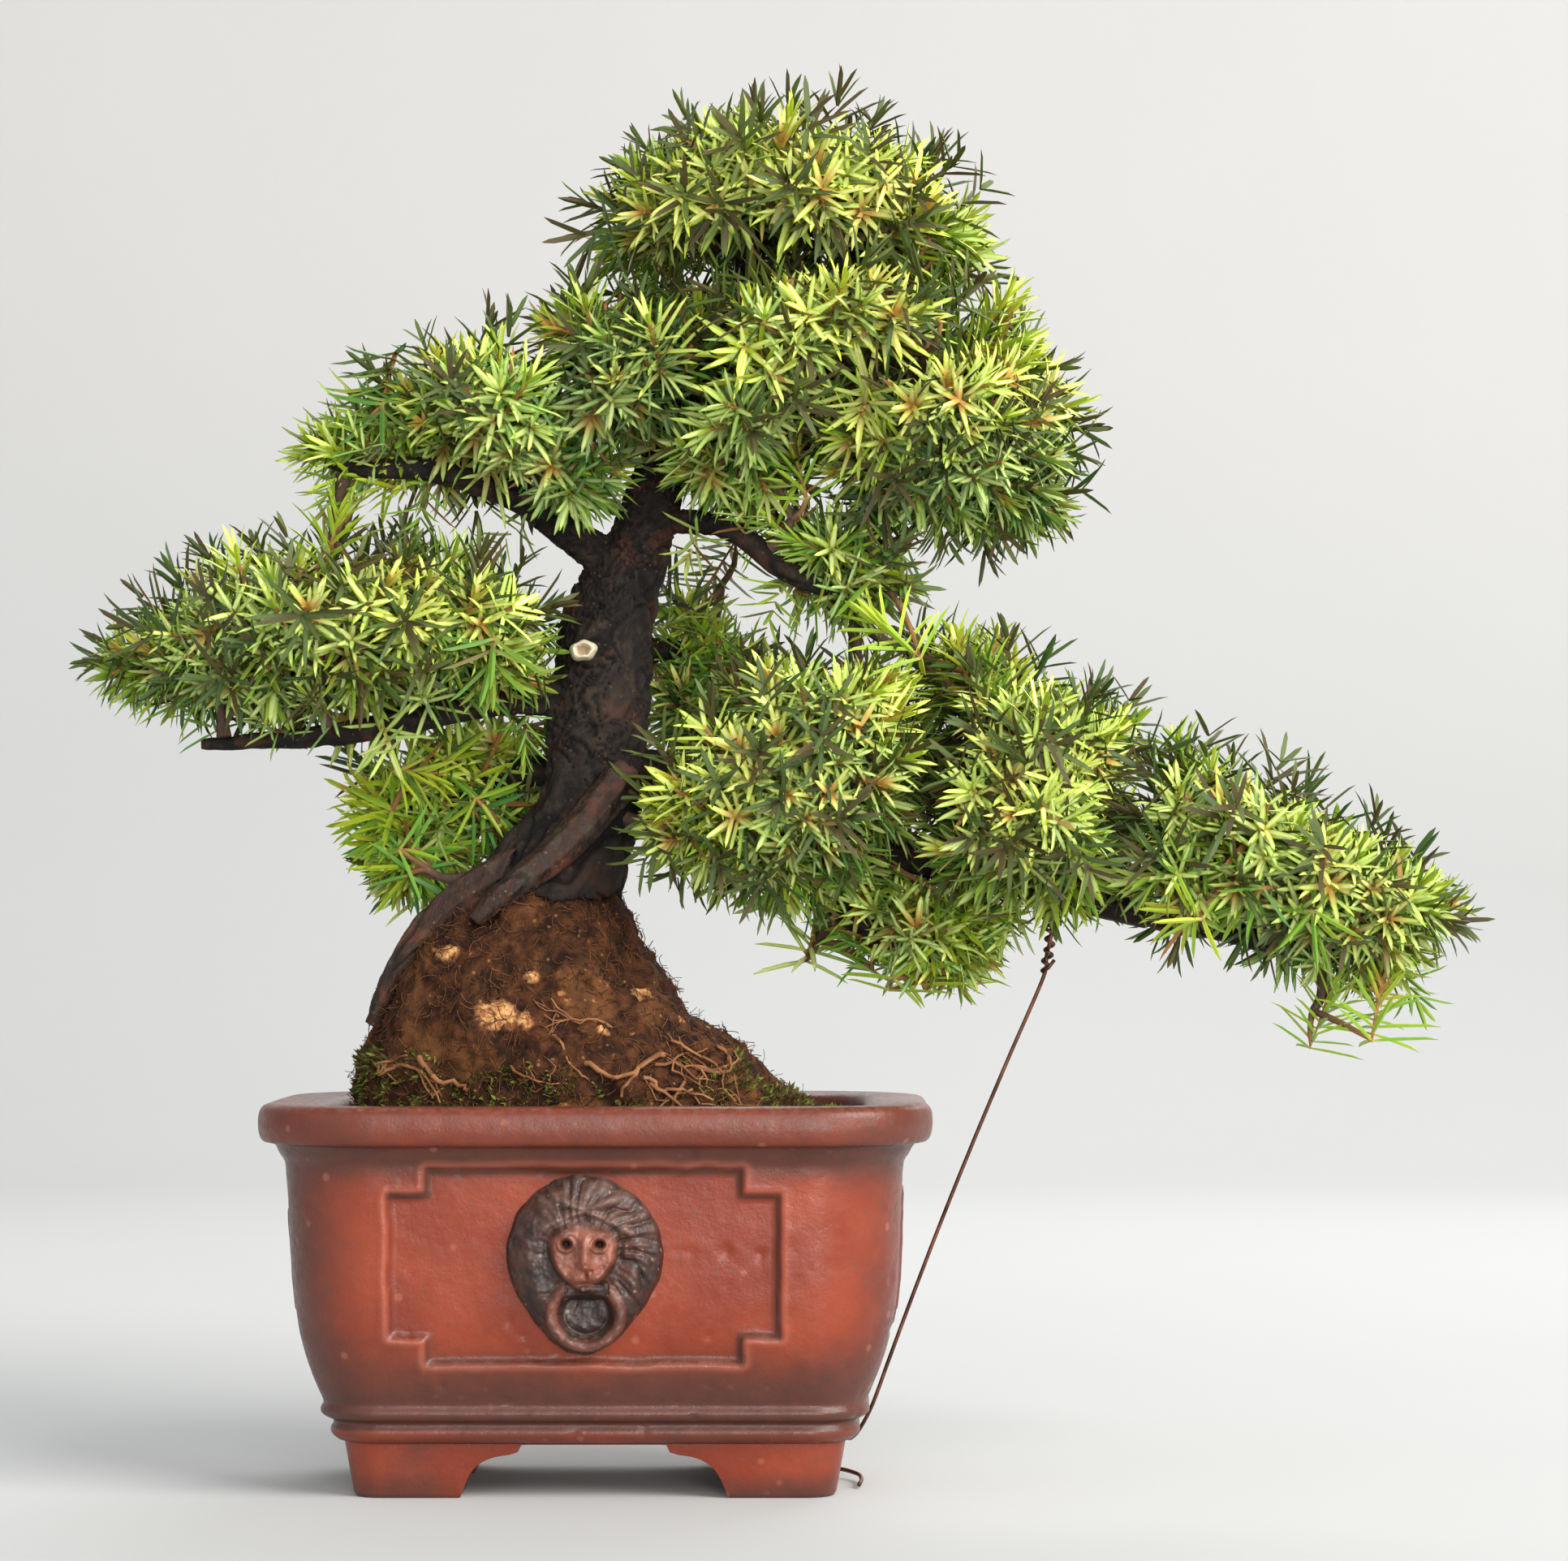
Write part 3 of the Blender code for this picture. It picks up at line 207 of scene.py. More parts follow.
# puts a finished piece on the plant
def place(name, mesh, material=None, slot=None, nodes=()):
    made = bpy.data.objects.new(name, mesh)
    scene.collection.objects.link(made)
    if material:
        mesh.materials.clear()
        mesh.materials.append(material)
    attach(made, "root")
    if nodes:
        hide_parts(*nodes)
    return made


def spare(name, mesh):
    made = bpy.data.objects.new(name, mesh)
    scene.collection.objects.link(made)
    return made


# the mesh an object shows with its modifiers; the object itself goes
def baked(thing):
    bpy.context.view_layer.update()
    mesh = bpy.data.meshes.new_from_object(thing.evaluated_get(bpy.context.evaluated_depsgraph_get()))
    bpy.data.objects.remove(thing)
    return mesh


# CAD nodes as one mesh, with the loose triangles joined up
def cadCopy(names, merge=0.00002):
    bm = bmesh.new()
    for n in names:
        bm.from_mesh(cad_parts[n].data)
    bmesh.ops.remove_doubles(bm, verts=bm.verts, dist=merge)
    mesh = bpy.data.meshes.new("copy")
    bm.to_mesh(mesh)
    bm.free()
    mesh.materials.clear()
    return mesh


def vertsOf(mesh):
    co = np.empty(len(mesh.vertices) * 3, np.float32)
    mesh.vertices.foreach_get("co", co)
    return co.reshape(-1, 3).astype(float)


def normalsOf(mesh):
    n = np.empty(len(mesh.vertices) * 3, np.float32)
    mesh.vertex_normals.foreach_get("vector", n)
    return n.reshape(-1, 3).astype(float)


def setVerts(mesh, co):
    mesh.vertices.foreach_set("co", np.asarray(co, np.float32).ravel())
    mesh.update()


def addAttribute(mesh, key, values):
    mesh.attributes.new(key, "FLOAT", "POINT").data.foreach_set("value", np.asarray(values, np.float32))


def treeOf(mesh):
    bm = bmesh.new()
    bm.from_mesh(mesh)
    made = BVHTree.FromBMesh(bm)
    bm.free()
    return made


def grownTogether(mesh, voxel, smoothing=0):
    thing = spare("grow", mesh)
    step = thing.modifiers.new("remesh", "REMESH")
    step.mode = "VOXEL"
    step.voxel_size = voxel
    if smoothing:
        soft = thing.modifiers.new("soft", "SMOOTH")
        soft.factor = 0.5
        soft.iterations = smoothing
    out = baked(thing)
    out.shade_smooth()
    return out


def shaderGroup(name, ins, outs):
    group = bpy.data.node_groups.new(name, "ShaderNodeTree")
    for socketName, kind, value in ins:
        socket = group.interface.new_socket(socketName, in_out="INPUT", socket_type=kind)
        if value is not None:
            socket.default_value = value
    for socketName, kind in outs:
        group.interface.new_socket(socketName, in_out="OUTPUT", socket_type=kind)
    return group, group.nodes.new("NodeGroupInput"), group.nodes.new("NodeGroupOutput")


def link(tree, a, b):
    tree.links.new(a, b)


def noiseNode(tree, vector, size, detail=3.0, roughness=0.55):
    node = tree.nodes.new("ShaderNodeTexNoise")
    node.inputs["Detail"].default_value = detail
    node.inputs["Roughness"].default_value = roughness
    if isinstance(size, float):
        node.inputs["Scale"].default_value = 1 / (size * mm)
    else:
        link(tree, size, node.inputs["Scale"])
    link(tree, vector, node.inputs["Vector"])
    return node.outputs["Fac"]


def mathNode(tree, operation, a, b=0.0, c=None, clamp=False):
    node = tree.nodes.new("ShaderNodeMath")
    node.operation = operation
    node.use_clamp = clamp
    for i, value in enumerate((a, b, c)):
        if value is None:
            continue
        if isinstance(value, (int, float)):
            node.inputs[i].default_value = value
        else:
            link(tree, value, node.inputs[i])
    return node.outputs[0]


def rangeNode(tree, value, low, high, outLow=0.0, outHigh=1.0):
    node = tree.nodes.new("ShaderNodeMapRange")
    node.interpolation_type = "SMOOTHSTEP"
    for i, v in enumerate((value, low, high, outLow, outHigh)):
        if isinstance(v, (int, float)):
            node.inputs[i].default_value = v
        else:
            link(tree, v, node.inputs[i])
    return node.outputs[0]


def mixColor(tree, mask, a, b, blend="MIX"):
    node = tree.nodes.new("ShaderNodeMix")
    node.data_type = "RGBA"
    node.blend_type = blend
    for i, v in ((0, mask), (6, a), (7, b)):
        if isinstance(v, (int, float)):
            node.inputs[i].default_value = v
        elif isinstance(v, tuple):
            node.inputs[i].default_value = (*v, 1)
        else:
            link(tree, v, node.inputs[i])
    return node.outputs[2]


# small specks scattered over a surface: a mask
def speckleGroup():
    g, i, o = shaderGroup("specks",
                          [("Vector", "NodeSocketVector", None), ("Scale", "NodeSocketFloat", 900.0),
                           ("Amount", "NodeSocketFloat", 0.3)], [("Mask", "NodeSocketFloat")])
    cell = g.nodes.new("ShaderNodeTexVoronoi")
    link(g, i.outputs["Vector"], cell.inputs["Vector"])
    link(g, i.outputs["Scale"], cell.inputs["Scale"])
    near = rangeNode(g, cell.outputs["Distance"], 0.12, 0.32, 1.0, 0.0)
    parts = g.nodes.new("ShaderNodeSeparateColor")
    link(g, cell.outputs["Color"], parts.inputs[0])
    chosen = mathNode(g, "LESS_THAN", parts.outputs[0], i.outputs["Amount"])
    link(g, mathNode(g, "MULTIPLY", near, chosen), o.inputs["Mask"])
    return g


# two sizes of soft patches: a value from 0 to 1, and a height for bumps
def mottleGroup():
    g, i, o = shaderGroup("mottle",
                          [("Vector", "NodeSocketVector", None), ("Large", "NodeSocketFloat", 60.0),
                           ("Small", "NodeSocketFloat", 700.0)],
                          [("Patches", "NodeSocketFloat"), ("Grain", "NodeSocketFloat")])
    large = noiseNode(g, i.outputs["Vector"], i.outputs["Large"], 4.0)
    small = noiseNode(g, i.outputs["Vector"], i.outputs["Small"], 4.0, 0.65)
    link(g, rangeNode(g, large, 0.35, 0.68), o.inputs["Patches"])
    link(g, small, o.inputs["Grain"])
    return g


# dust that settles where a surface faces up: a mask
def dustGroup():
    g, i, o = shaderGroup("dust",
                          [("Vector", "NodeSocketVector", None), ("Amount", "NodeSocketFloat", 0.4)],
                          [("Mask", "NodeSocketFloat")])
    facing = g.nodes.new("ShaderNodeNewGeometry")
    parts = g.nodes.new("ShaderNodeSeparateXYZ")
    link(g, facing.outputs["Normal"], parts.inputs[0])
    up = rangeNode(g, parts.outputs["Z"], 0.25, 0.95)
    broken = rangeNode(g, noiseNode(g, i.outputs["Vector"], 1.4, 5.0, 0.7), 0.4, 0.7)
    link(g, mathNode(g, "MULTIPLY", mathNode(g, "MULTIPLY", up, broken), i.outputs["Amount"]),
         o.inputs["Mask"])
    return g


specks, mottle, dust = speckleGroup(), mottleGroup(), dustGroup()


# a material with a Principled shader and its object coordinates at hand
class Look:
    def __init__(self, name, roughness=0.6, specular=0.5, metallic=0.0):
        self.material = bpy.data.materials.new(name)
        self.material.use_nodes = True
        self.tree = self.material.node_tree
        self.shader = self.tree.nodes["Principled BSDF"]
        self.shader.inputs["Roughness"].default_value = roughness
        self.shader.inputs["Metallic"].default_value = metallic
        self.shader.inputs["Specular IOR Level"].default_value = specular
        self.place = self.tree.nodes.new("ShaderNodeTexCoord").outputs["Object"]

    def group(self, made, **values):
        node = self.tree.nodes.new("ShaderNodeGroup")
        node.node_tree = made
        link(self.tree, self.place, node.inputs["Vector"])
        for key, value in values.items():
            node.inputs[key].default_value = value
        return node.outputs

    def attribute(self, name):
        node = self.tree.nodes.new("ShaderNodeAttribute")
        node.attribute_name = name
        return node.outputs["Fac"]

    def noise(self, size, detail=3.0, roughness=0.55):
        return noiseNode(self.tree, self.place, float(size), detail, roughness)

    # a noise pressed between two levels, from 0 to 1
    def patch(self, low, high, size, detail=3.0, roughness=0.55):
        return rangeNode(self.tree, self.noise(size, detail, roughness), low, high)

    def ramp(self, value, low, high, outLow=0.0, outHigh=1.0):
        return rangeNode(self.tree, value, low, high, outLow, outHigh)

    def times(self, a, b):
        return mathNode(self.tree, "MULTIPLY", a, b)

    # lays a colour over the base where the mask says
    def over(self, base, color, mask, amount=None):
        if amount is not None:
            mask = self.times(mask, amount)
        return mixColor(self.tree, mask, base, color)

    def speckled(self, scale, amount):
        return self.group(specks, Scale=scale, Amount=amount)["Mask"]

    def dusty(self, amount):
        return self.group(dust, Amount=amount)["Mask"]

    def stretched(self, x, y, z):
        node = self.tree.nodes.new("ShaderNodeMapping")
        link(self.tree, self.place, node.inputs["Vector"])
        node.inputs["Scale"].default_value = (x, y, z)
        return node.outputs["Vector"]

    def color(self, value):
        link(self.tree, value, self.shader.inputs["Base Color"])

    def rough(self, value):
        link(self.tree, value, self.shader.inputs["Roughness"])

    def relief(self, height, distance, strength=1.0):
        node = self.tree.nodes.new("ShaderNodeBump")
        node.inputs["Strength"].default_value = strength
        node.inputs["Distance"].default_value = distance * mm
        link(self.tree, height, node.inputs["Height"])
        link(self.tree, node.outputs["Normal"], self.shader.inputs["Normal"])


def stageLook():
    look = Look("paper sweep", 0.85, 0.2)
    t = look.tree
    parts = t.nodes.new("ShaderNodeSeparateXYZ")
    link(t, look.place, parts.inputs[0])
    up = look.ramp(parts.outputs["Z"], 0.0, 0.5)
    tone = look.over((0.53, 0.54, 0.535), (0.57, 0.562, 0.556), up)
    look.color(look.over(tone, (0.75, 0.77, 0.8), look.noise(120, 5.0), 0.08))
    look.relief(look.noise(0.9, 4.0), 0.02, 0.3)
    side = t.nodes.new("ShaderNodeNewGeometry")
    clear = t.nodes.new("ShaderNodeBsdfTransparent")
    both = t.nodes.new("ShaderNodeMixShader")
    link(t, side.outputs["Backfacing"], both.inputs[0])
    link(t, look.shader.outputs[0], both.inputs[1])
    link(t, clear.outputs[0], both.inputs[2])
    link(t, both.outputs[0], t.nodes["Material Output"].inputs["Surface"])
    return look.material


backdrop.data.materials.append(stageLook())


def copperLook():
    look = Look("copper wire", 0.42, 0.5, 0.85)
    spots = look.group(mottle, Large=260.0, Small=3000.0)
    look.color(look.over((0.075, 0.035, 0.022), (0.2, 0.085, 0.05), spots["Patches"]))
    look.rough(look.ramp(spots["Grain"], 0.3, 0.7, 0.32, 0.6))
    look.relief(spots["Grain"], 0.03)
    return look.material


copper = copperLook()


# a round tube through points, closed at both ends
def tubeMesh(name, points, radii, sides=8):
    p, r = np.asarray(points, float), np.broadcast_to(radii, (len(points),))
    ahead = np.gradient(p, axis=0)
    ahead /= np.linalg.norm(ahead, axis=1)[:, None]
    side = np.cross(ahead[0], (0.3, 0.2, 1.0))
    rings, faces = [], []
    for i in range(len(p)):
        side = side - ahead[i] * (side @ ahead[i])
        side /= np.linalg.norm(side)
        other = np.cross(ahead[i], side)
        a = np.linspace(0, 2 * math.pi, sides, endpoint=False)
        rings.append(p[i] + r[i] * (np.cos(a)[:, None] * side + np.sin(a)[:, None] * other))
    for i in range(len(p) - 1):
        for k in range(sides):
            a, b = i * sides + k, i * sides + (k + 1) % sides
            faces.append((a, b, b + sides, a + sides))
    faces.append(tuple(range(sides))[::-1])
    faces.append(tuple(range((len(p) - 1) * sides, len(p) * sides)))
    return meshFrom(name, np.vstack(rings), faces)


wire = place("guy_wire_strand", tubeMesh("guy_wire_strand", wirePoints, wireSet["radius"] * mm, 10), copper,
             "copper_wire", ["guy_wire"])


twistSet = dict(radius=0.26, apart=0.56, turns=5.5, top=-3.4, drop=8.2, steps=120)


def twistStrand(s):
    top = np.array(wireSet["anchor"]) + (0, 0, s["top"])
    t = np.linspace(0, 1, s["steps"])
    a = 2 * math.pi * s["turns"] * t
    core = top + np.outer(t, (-0.3, 0.2, -s["drop"])) + np.outer(np.sin(math.pi * t), (0.7, -0.3, 0))
    reach = s["apart"] * (1 - 0.55 * ease(0.86, 1, t))
    p = core + np.stack([np.cos(a) * reach, np.sin(a) * reach, 0 * t], 1)
    p = np.vstack([p, p[-1] + (0.9, -0.5, 0.5), p[-1] + (1.7, -0.8, 1.6)])
    return tubeMesh("wire_twist", p * mm + potMid, s["radius"] * mm)


twist = place("wire_twist", twistStrand(twistSet), copper, "copper_wire")
print("wire and twist done")

potSet = dict(length=90.2, depth=64.0, height=52.2, corner=17.0, bodyBottom=12.8, bodyTop=44.5,
              wall=5.2, hole=3.8, straightLong=132, straightShort=84, cornerSteps=24)
footInset, topInset, bellyInset, bellyHeight = 5.8, 3.8, 3.0, 14.0


def bodyInset(z):
    share = (z - potSet["bodyBottom"]) / (potSet["bodyTop"] - potSet["bodyBottom"])
    below = np.maximum(0, 1 - (z - potSet["bodyBottom"]) / bellyHeight)
    return footInset + (topInset - footInset) * share + bellyInset * below**2


# points and outward directions round the pot, anticlockwise from the front right corner
def roundedRing(inset, s=potSet):
    hx, hy = s["length"] / 2 - inset, s["depth"] / 2 - inset
    r = max(s["corner"] - inset, 2.5)
    out, nrm = [], []
    sides = [((hx, -hy + r), (hx, hy - r), (1, 0), s["straightShort"]),
             ((hx - r, hy), (-hx + r, hy), (0, 1), s["straightLong"]),
             ((-hx, hy - r), (-hx, -hy + r), (-1, 0), s["straightShort"]),
             ((-hx + r, -hy), (hx - r, -hy), (0, -1), s["straightLong"])]
    centres = [(hx - r, hy - r, 0), (-hx + r, hy - r, 90), (-hx + r, -hy + r, 180), (hx - r, -hy + r, 270)]
    for (a, b, n, count), (cx, cy, start) in zip(sides, centres):
        t = np.linspace(0, 1, count, endpoint=False)[:, None]
        out.append(np.array(a) + (np.array(b) - np.array(a)) * t)
        nrm.append(np.tile(n, (count, 1)))
        a = np.radians(start + 90 * np.linspace(0, 1, s["cornerSteps"], endpoint=False))
        d = np.stack([np.cos(a), np.sin(a)], 1)
        out.append(np.array([cx, cy]) + r * d)
        nrm.append(d)
    return np.vstack(out), np.vstack(nrm)


# cuts the corners of an open line
def rounded(points, times=2):
    p = np.array(points, float)
    for _ in range(times):
        cut = np.stack([p[:-1] * 0.75 + p[1:] * 0.25, p[:-1] * 0.25 + p[1:] * 0.75], 1)
        p = np.vstack([p[:1], cut.reshape(-1, 2), p[-1:]])
    return p


def resampled(points, step):
    p = np.array(points, float)
    run = np.concatenate([[0], np.cumsum(np.linalg.norm(np.diff(p, axis=0), axis=1))])
    at = np.linspace(0, run[-1], max(2, int(run[-1] / step)))
    return np.stack([np.interp(at, run, p[:, 0]), np.interp(at, run, p[:, 1])], 1)


# signed distance to a rectangle with square notches in its corners
def plusDistance(x, z, halfX, halfZ, notch):
    def box(hx, hz):
        dx, dz = np.abs(x) - hx, np.abs(z) - hz
        return np.hypot(np.maximum(dx, 0), np.maximum(dz, 0)) + np.minimum(np.maximum(dx, dz), 0)
    return np.minimum(box(halfX, halfZ - notch[1]), box(halfX - notch[0], halfZ))


def potBody(s):
    rimBottom = s["height"] - 5.3
    outer = [(7.4, 13.2), (7.4, 11.4), (7.5, 10.9), (8.4, 9.75), (9.2, 9.7), (9.9, 10.25), (10.1, 10.3),
             (10.3, 9.8)]
    outer += [(11.0, 8.45), (11.8, 8.4), (12.5, 8.95), (12.8, bodyInset(12.8))]
    outer += [(z, bodyInset(z)) for z in (13.8, 15.0, 17.0, 19.5, 23.0, 28.0, 33.0, 39.0, 44.0)]
    outer += [(44.7, 3.7), (45.4, 3.1), (46.6, 2.5), (rimBottom + 0.05, 2.2), (rimBottom + 0.1, 1.2),
              (rimBottom + 0.35, 0.45)]
    outer += [(rimBottom + 1.5, 0.05), (49.5, -0.05), (51.1, 0.1), (51.8, 0.45), (52.2, 1.2), (52.25, 3.6),
              (52.1, 6.4)]
    outer += [(51.8, 8.2), (51.0, 8.9), (49.0, 9.0), (46.0, 9.15), (42.0, 9.4)]
    skin = resampled(rounded(outer, 2), 0.47)
    inside = [(z, bodyInset(max(z, 13)) + s["wall"]) for z in (36, 26, 16, 13)] + [(12.0, 18.0)]
    profile = np.vstack([[(7.4, 22.0), (7.4, 17.0)], skin, inside])
    rings, outs = [], []
    for z, inset in profile:
        xy, n = roundedRing(inset)
        rings.append(np.column_stack([xy, np.full(len(xy), z)]))
        outs.append(np.column_stack([n, np.zeros(len(n))]))
    around = np.arctan2(rings[0][:, 1], rings[0][:, 0])
    hole = np.column_stack([np.cos(around) * s["hole"], np.sin(around) * s["hole"]])
    for z in (12.0, 9.5, 7.4):
        rings.append(np.column_stack([hole, np.full(len(hole), z)]))
        outs.append(np.zeros_like(rings[-1]))
    p, n = np.array(rings), np.array(outs)
    x, y, z = p[..., 0], p[..., 1], p[..., 2]
    middle = 31.2
    isOut = np.zeros(p.shape[:2])
    isOut[2:2 + int(len(skin) * 0.72)] = 1
    facing = np.abs(n[..., 1]) > 0.999
    shift = np.where(y < 0, -1.0, 1.0)
    d = plusDistance(x - shift, z - middle, 25.6, 12.7, (5.0, 3.4))
    d = d + 0.22 * softNoise(p, 3.0, 5)
    sink = ease(0.5, -0.5, d) * 1.25 * facing * isOut
    lip = np.exp(-((d - 0.75) / 0.5) ** 2) * 0.12 * facing * isOut
    sideFacing = np.abs(n[..., 0]) > 0.999
    dSide = plusDistance(y, z - middle, 13.5, 9.3, (3.4, 2.4))
    rise = ease(0.5, -0.5, dSide) * 0.45 * sideFacing * isOut
    wobble = 0.16 * softNoise(p, 14, 3) + 0.05 * roughNoise(p, 2.4, 9, 3)
    dents = -0.25 * ease(0.62, 0.9, softNoise(p, 2.2, 21)) * isOut
    p = p + n * (rise - sink + lip + wobble + dents)[..., None]
    edge = np.exp(-((d - 0.7) / 0.45) ** 2) * facing * isOut
    # darker at the ends, in the mouldings, on top of the base and towards the bottom: part patina, part
    # painted shade; painted shadow under the rim and in the panel groove, painted shade over the left
    # the ends darken more on the left: painted shade
    ends = ease(27, 45, np.abs(x)) * np.where(x < 0, 0.95, 0.75)
    shade = ease(20, -42, x) * 0.3 * (y < 0)
    # painted shadow under the rim
    neckShadow = np.exp(-((z - 45.5) / 2.9) ** 2) * 0.95
    belly = ease(25, 13.5, z) * 0.8
    moulding = np.exp(-((z - 10.2) / 0.7) ** 2) * 0.9 + np.exp(-((z - 12.9) / 0.8) ** 2) * 0.8
    # painted shadow in the panel groove, heaviest on its right and top edges
    grooveShadow = (np.exp(-((d + 0.1) / 0.6) ** 2) * 0.75 * facing * isOut
              * (0.4 + 0.6 * ((x - shift > 20) | (z > middle + 9))))
    inPanel = ease(0.5, -3, d) * facing * isOut
    patinaAndShade = (1 - (1 - ends * (1 - 0.6 * inPanel)) * (1 - neckShadow * (1 - 0.5 * inPanel))
              * (1 - belly * (1 - 0.6 * inPanel)))
    patinaAndShade = np.clip(patinaAndShade + moulding + grooveShadow + shade * (1 - patinaAndShade), 0, 1)
    patinaAndShade = np.where(z > 47.0, 0.62, patinaAndShade)
    patinaAndShade = np.where((z < 9.3) & (isOut > 0), 0.55, patinaAndShade)
    patinaAndShade = np.clip(patinaAndShade + 0.13 * roughNoise(p, 12, 31, 4), 0, 1)
    inner = (isOut < 1) & (z > 12) & (z < 51)
    rows, cols = p.shape[:2]
    i, k = np.meshgrid(np.arange(rows), np.arange(cols), indexing="ij")
    at = lambda a, b: (a % rows) * cols + (b % cols)
    faces = np.stack([at(i, k), at(i, k + 1), at(i + 1, k + 1), at(i + 1, k)], -1).reshape(-1, 4)
    return meshFrom("pot_body", p.reshape(-1, 3) * mm + potMid, faces,
                    {"patinaAndShade": patinaAndShade.ravel(), "edge": edge.ravel(), "inner": inner.ravel()})


def clayLook():
    look = Look("red clay", 0.42, 0.4)
    t = look.tree
    spots = look.group(mottle, Large=75.0, Small=900.0)
    patinaAndShade, edge = look.attribute("patinaAndShade"), look.attribute("edge")
    body = look.over((0.190, 0.026, 0.009), (0.265, 0.042, 0.015), spots["Patches"])
    body = look.over(body, (0.15, 0.026, 0.013), look.noise(1.3, 5.0), 0.25)
    # darkening from real patina and painted shade, broken up by noise
    patinaShadeLevel = mathNode(t, "MULTIPLY_ADD", look.noise(2.2, 6.0, 0.7), 0.4,
                    mathNode(t, "SUBTRACT", patinaAndShade, 0.36))
    # dark brown used for both the patina and the painted shade
    dark = look.over((0.046, 0.019, 0.014), (0.105, 0.032, 0.020), look.noise(3.4, 4.0))
    body = look.over(body, dark, look.ramp(patinaShadeLevel, -0.08, 0.8, 0.0, 0.95))
    body = look.over(body, (0.42, 0.11, 0.062), edge, 0.4)
    body = look.over(body, (0.12, 0.045, 0.03), look.speckled(620.0, 0.16), 0.5)
    body = look.over(body, (0.5, 0.2, 0.12), look.speckled(420.0, 0.10), 0.25)
    body = look.over(body, (0.36, 0.2, 0.14), look.dusty(0.3))
    look.color(body)
    look.rough(look.ramp(spots["Grain"], 0.3, 0.75, 0.27, 0.44))
    look.relief(mathNode(t, "MULTIPLY_ADD", look.noise(0.35, 4.0, 0.7), 0.4, spots["Grain"]), 0.09, 0.8)
    return look.material


clay = clayLook()
pot = place("pot_body", potBody(potSet), clay, "red_clay", ["pot"])


# the base: a block with a bracket arch through it both ways
def footBlock(s):
    rings = []
    for z, inset in ((0.0, 13.5), (0.15, 13.15), (0.6, 12.9), (3.8, 12.3), (6.6, 11.8), (7.35, 11.65)):
        xy = roundedRing(inset, {**s, "straightLong": 12, "straightShort": 8, "cornerSteps": 10})[0]
        rings.append(np.column_stack([xy, np.full(len(xy), z)]))
    p = np.array(rings)
    rows, cols = p.shape[:2]
    faces = [(i * cols + k, i * cols + (k + 1) % cols, (i + 1) * cols + (k + 1) % cols, (i + 1) * cols + k)
             for i in range(rows - 1) for k in range(cols)]
    faces += [tuple(range(cols))[::-1], tuple(range((rows - 1) * cols, rows * cols))]
    block = spare("foot_block", meshFrom("foot_block", p.reshape(-1, 3) * mm + potMid, faces, smooth=False))
    tools = []
    for half, along in ((17.9, "Y"), (8.0, "X")):
        arch = [(half + 0.5, -3), (half, 0.0), (half - 1.2, 2.9), (half - 2.4, 4.5), (half - 4.4, 5.5),
                (half * 0.5 + 2.2, 5.85)]
        arch = rounded(arch, 2).tolist() + [(half * 0.5 + 1.1, 6.2), (half * 0.5 + 0.7, 7.15),
                                            (half * 0.5, 7.2)]
        if half < 10:
            arch = [(half + 0.5, -3), (half, 0.0), (half - 1.0, 3.0), (half - 1.9, 4.8), (half - 2.6, 5.5),
                    (half * 0.5 + 0.6, 5.9)]
            arch = rounded(arch, 2).tolist() + [(half * 0.5 + 0.3, 6.4), (half * 0.5, 7.2)]
        outline = arch + [(-a, b) for a, b in reversed(arch)]
        bm = bmesh.new()
        spots = [((a, -50, b) if along == "Y" else (-60, a, b)) for a, b in outline]
        face = bm.faces.new([bm.verts.new(Vector(q) * mm + Vector(potMid)) for q in spots])
        pulled = bmesh.ops.extrude_face_region(bm, geom=[face])
        far = [v for v in pulled["geom"] if isinstance(v, bmesh.types.BMVert)]
        bmesh.ops.translate(bm, verts=far, vec=(0, 100 * mm, 0) if along == "Y" else (120 * mm, 0, 0))
        bmesh.ops.recalc_face_normals(bm, faces=bm.faces)
        mesh = bpy.data.meshes.new("arch")
        bm.to_mesh(mesh)
        tool = spare("arch_" + along, mesh)
        tools.append(tool)
        cut = block.modifiers.new("cut", "BOOLEAN")
        cut.object = tool
        cut.solver = "EXACT"
    soft = block.modifiers.new("soft edge", "BEVEL")
    soft.width = 0.32 * mm
    soft.segments = 3
    soft.limit_method = "ANGLE"
    soft.angle_limit = math.radians(38)
    mesh = baked(block)
    for tool in tools:
        bpy.data.objects.remove(tool)
    mesh.shade_smooth()
    mesh.set_sharp_from_angle(angle=math.radians(42))
    co = vertsOf(mesh)
    q = (co - potMid) / mm
    # darker at the very bottom; painted shade on the faces inside the arches under the pot
    patinaAndShade = np.clip(0.28 + 0.5 * ease(1.6, 0.0, q[:, 2]) + 0.3 * roughNoise(q, 6, 4), 0, 1)
    under = (np.abs(q[:, 0]) < 31) & (np.abs(q[:, 1]) < 17.5) & (q[:, 2] > 0.4)
    addAttribute(mesh, "patinaAndShade", np.where(under, 0.85, patinaAndShade))
    addAttribute(mesh, "edge", 0 * patinaAndShade)
    return mesh


feet = place("pot_feet", footBlock(potSet), clay, "red_clay", ["pot"])
print("pot done", len(pot.data.polygons), len(feet.data.polygons))

maskSet = dict(halfWidth=10.3, up=11.5, down=12.3, radial=96, around=230)


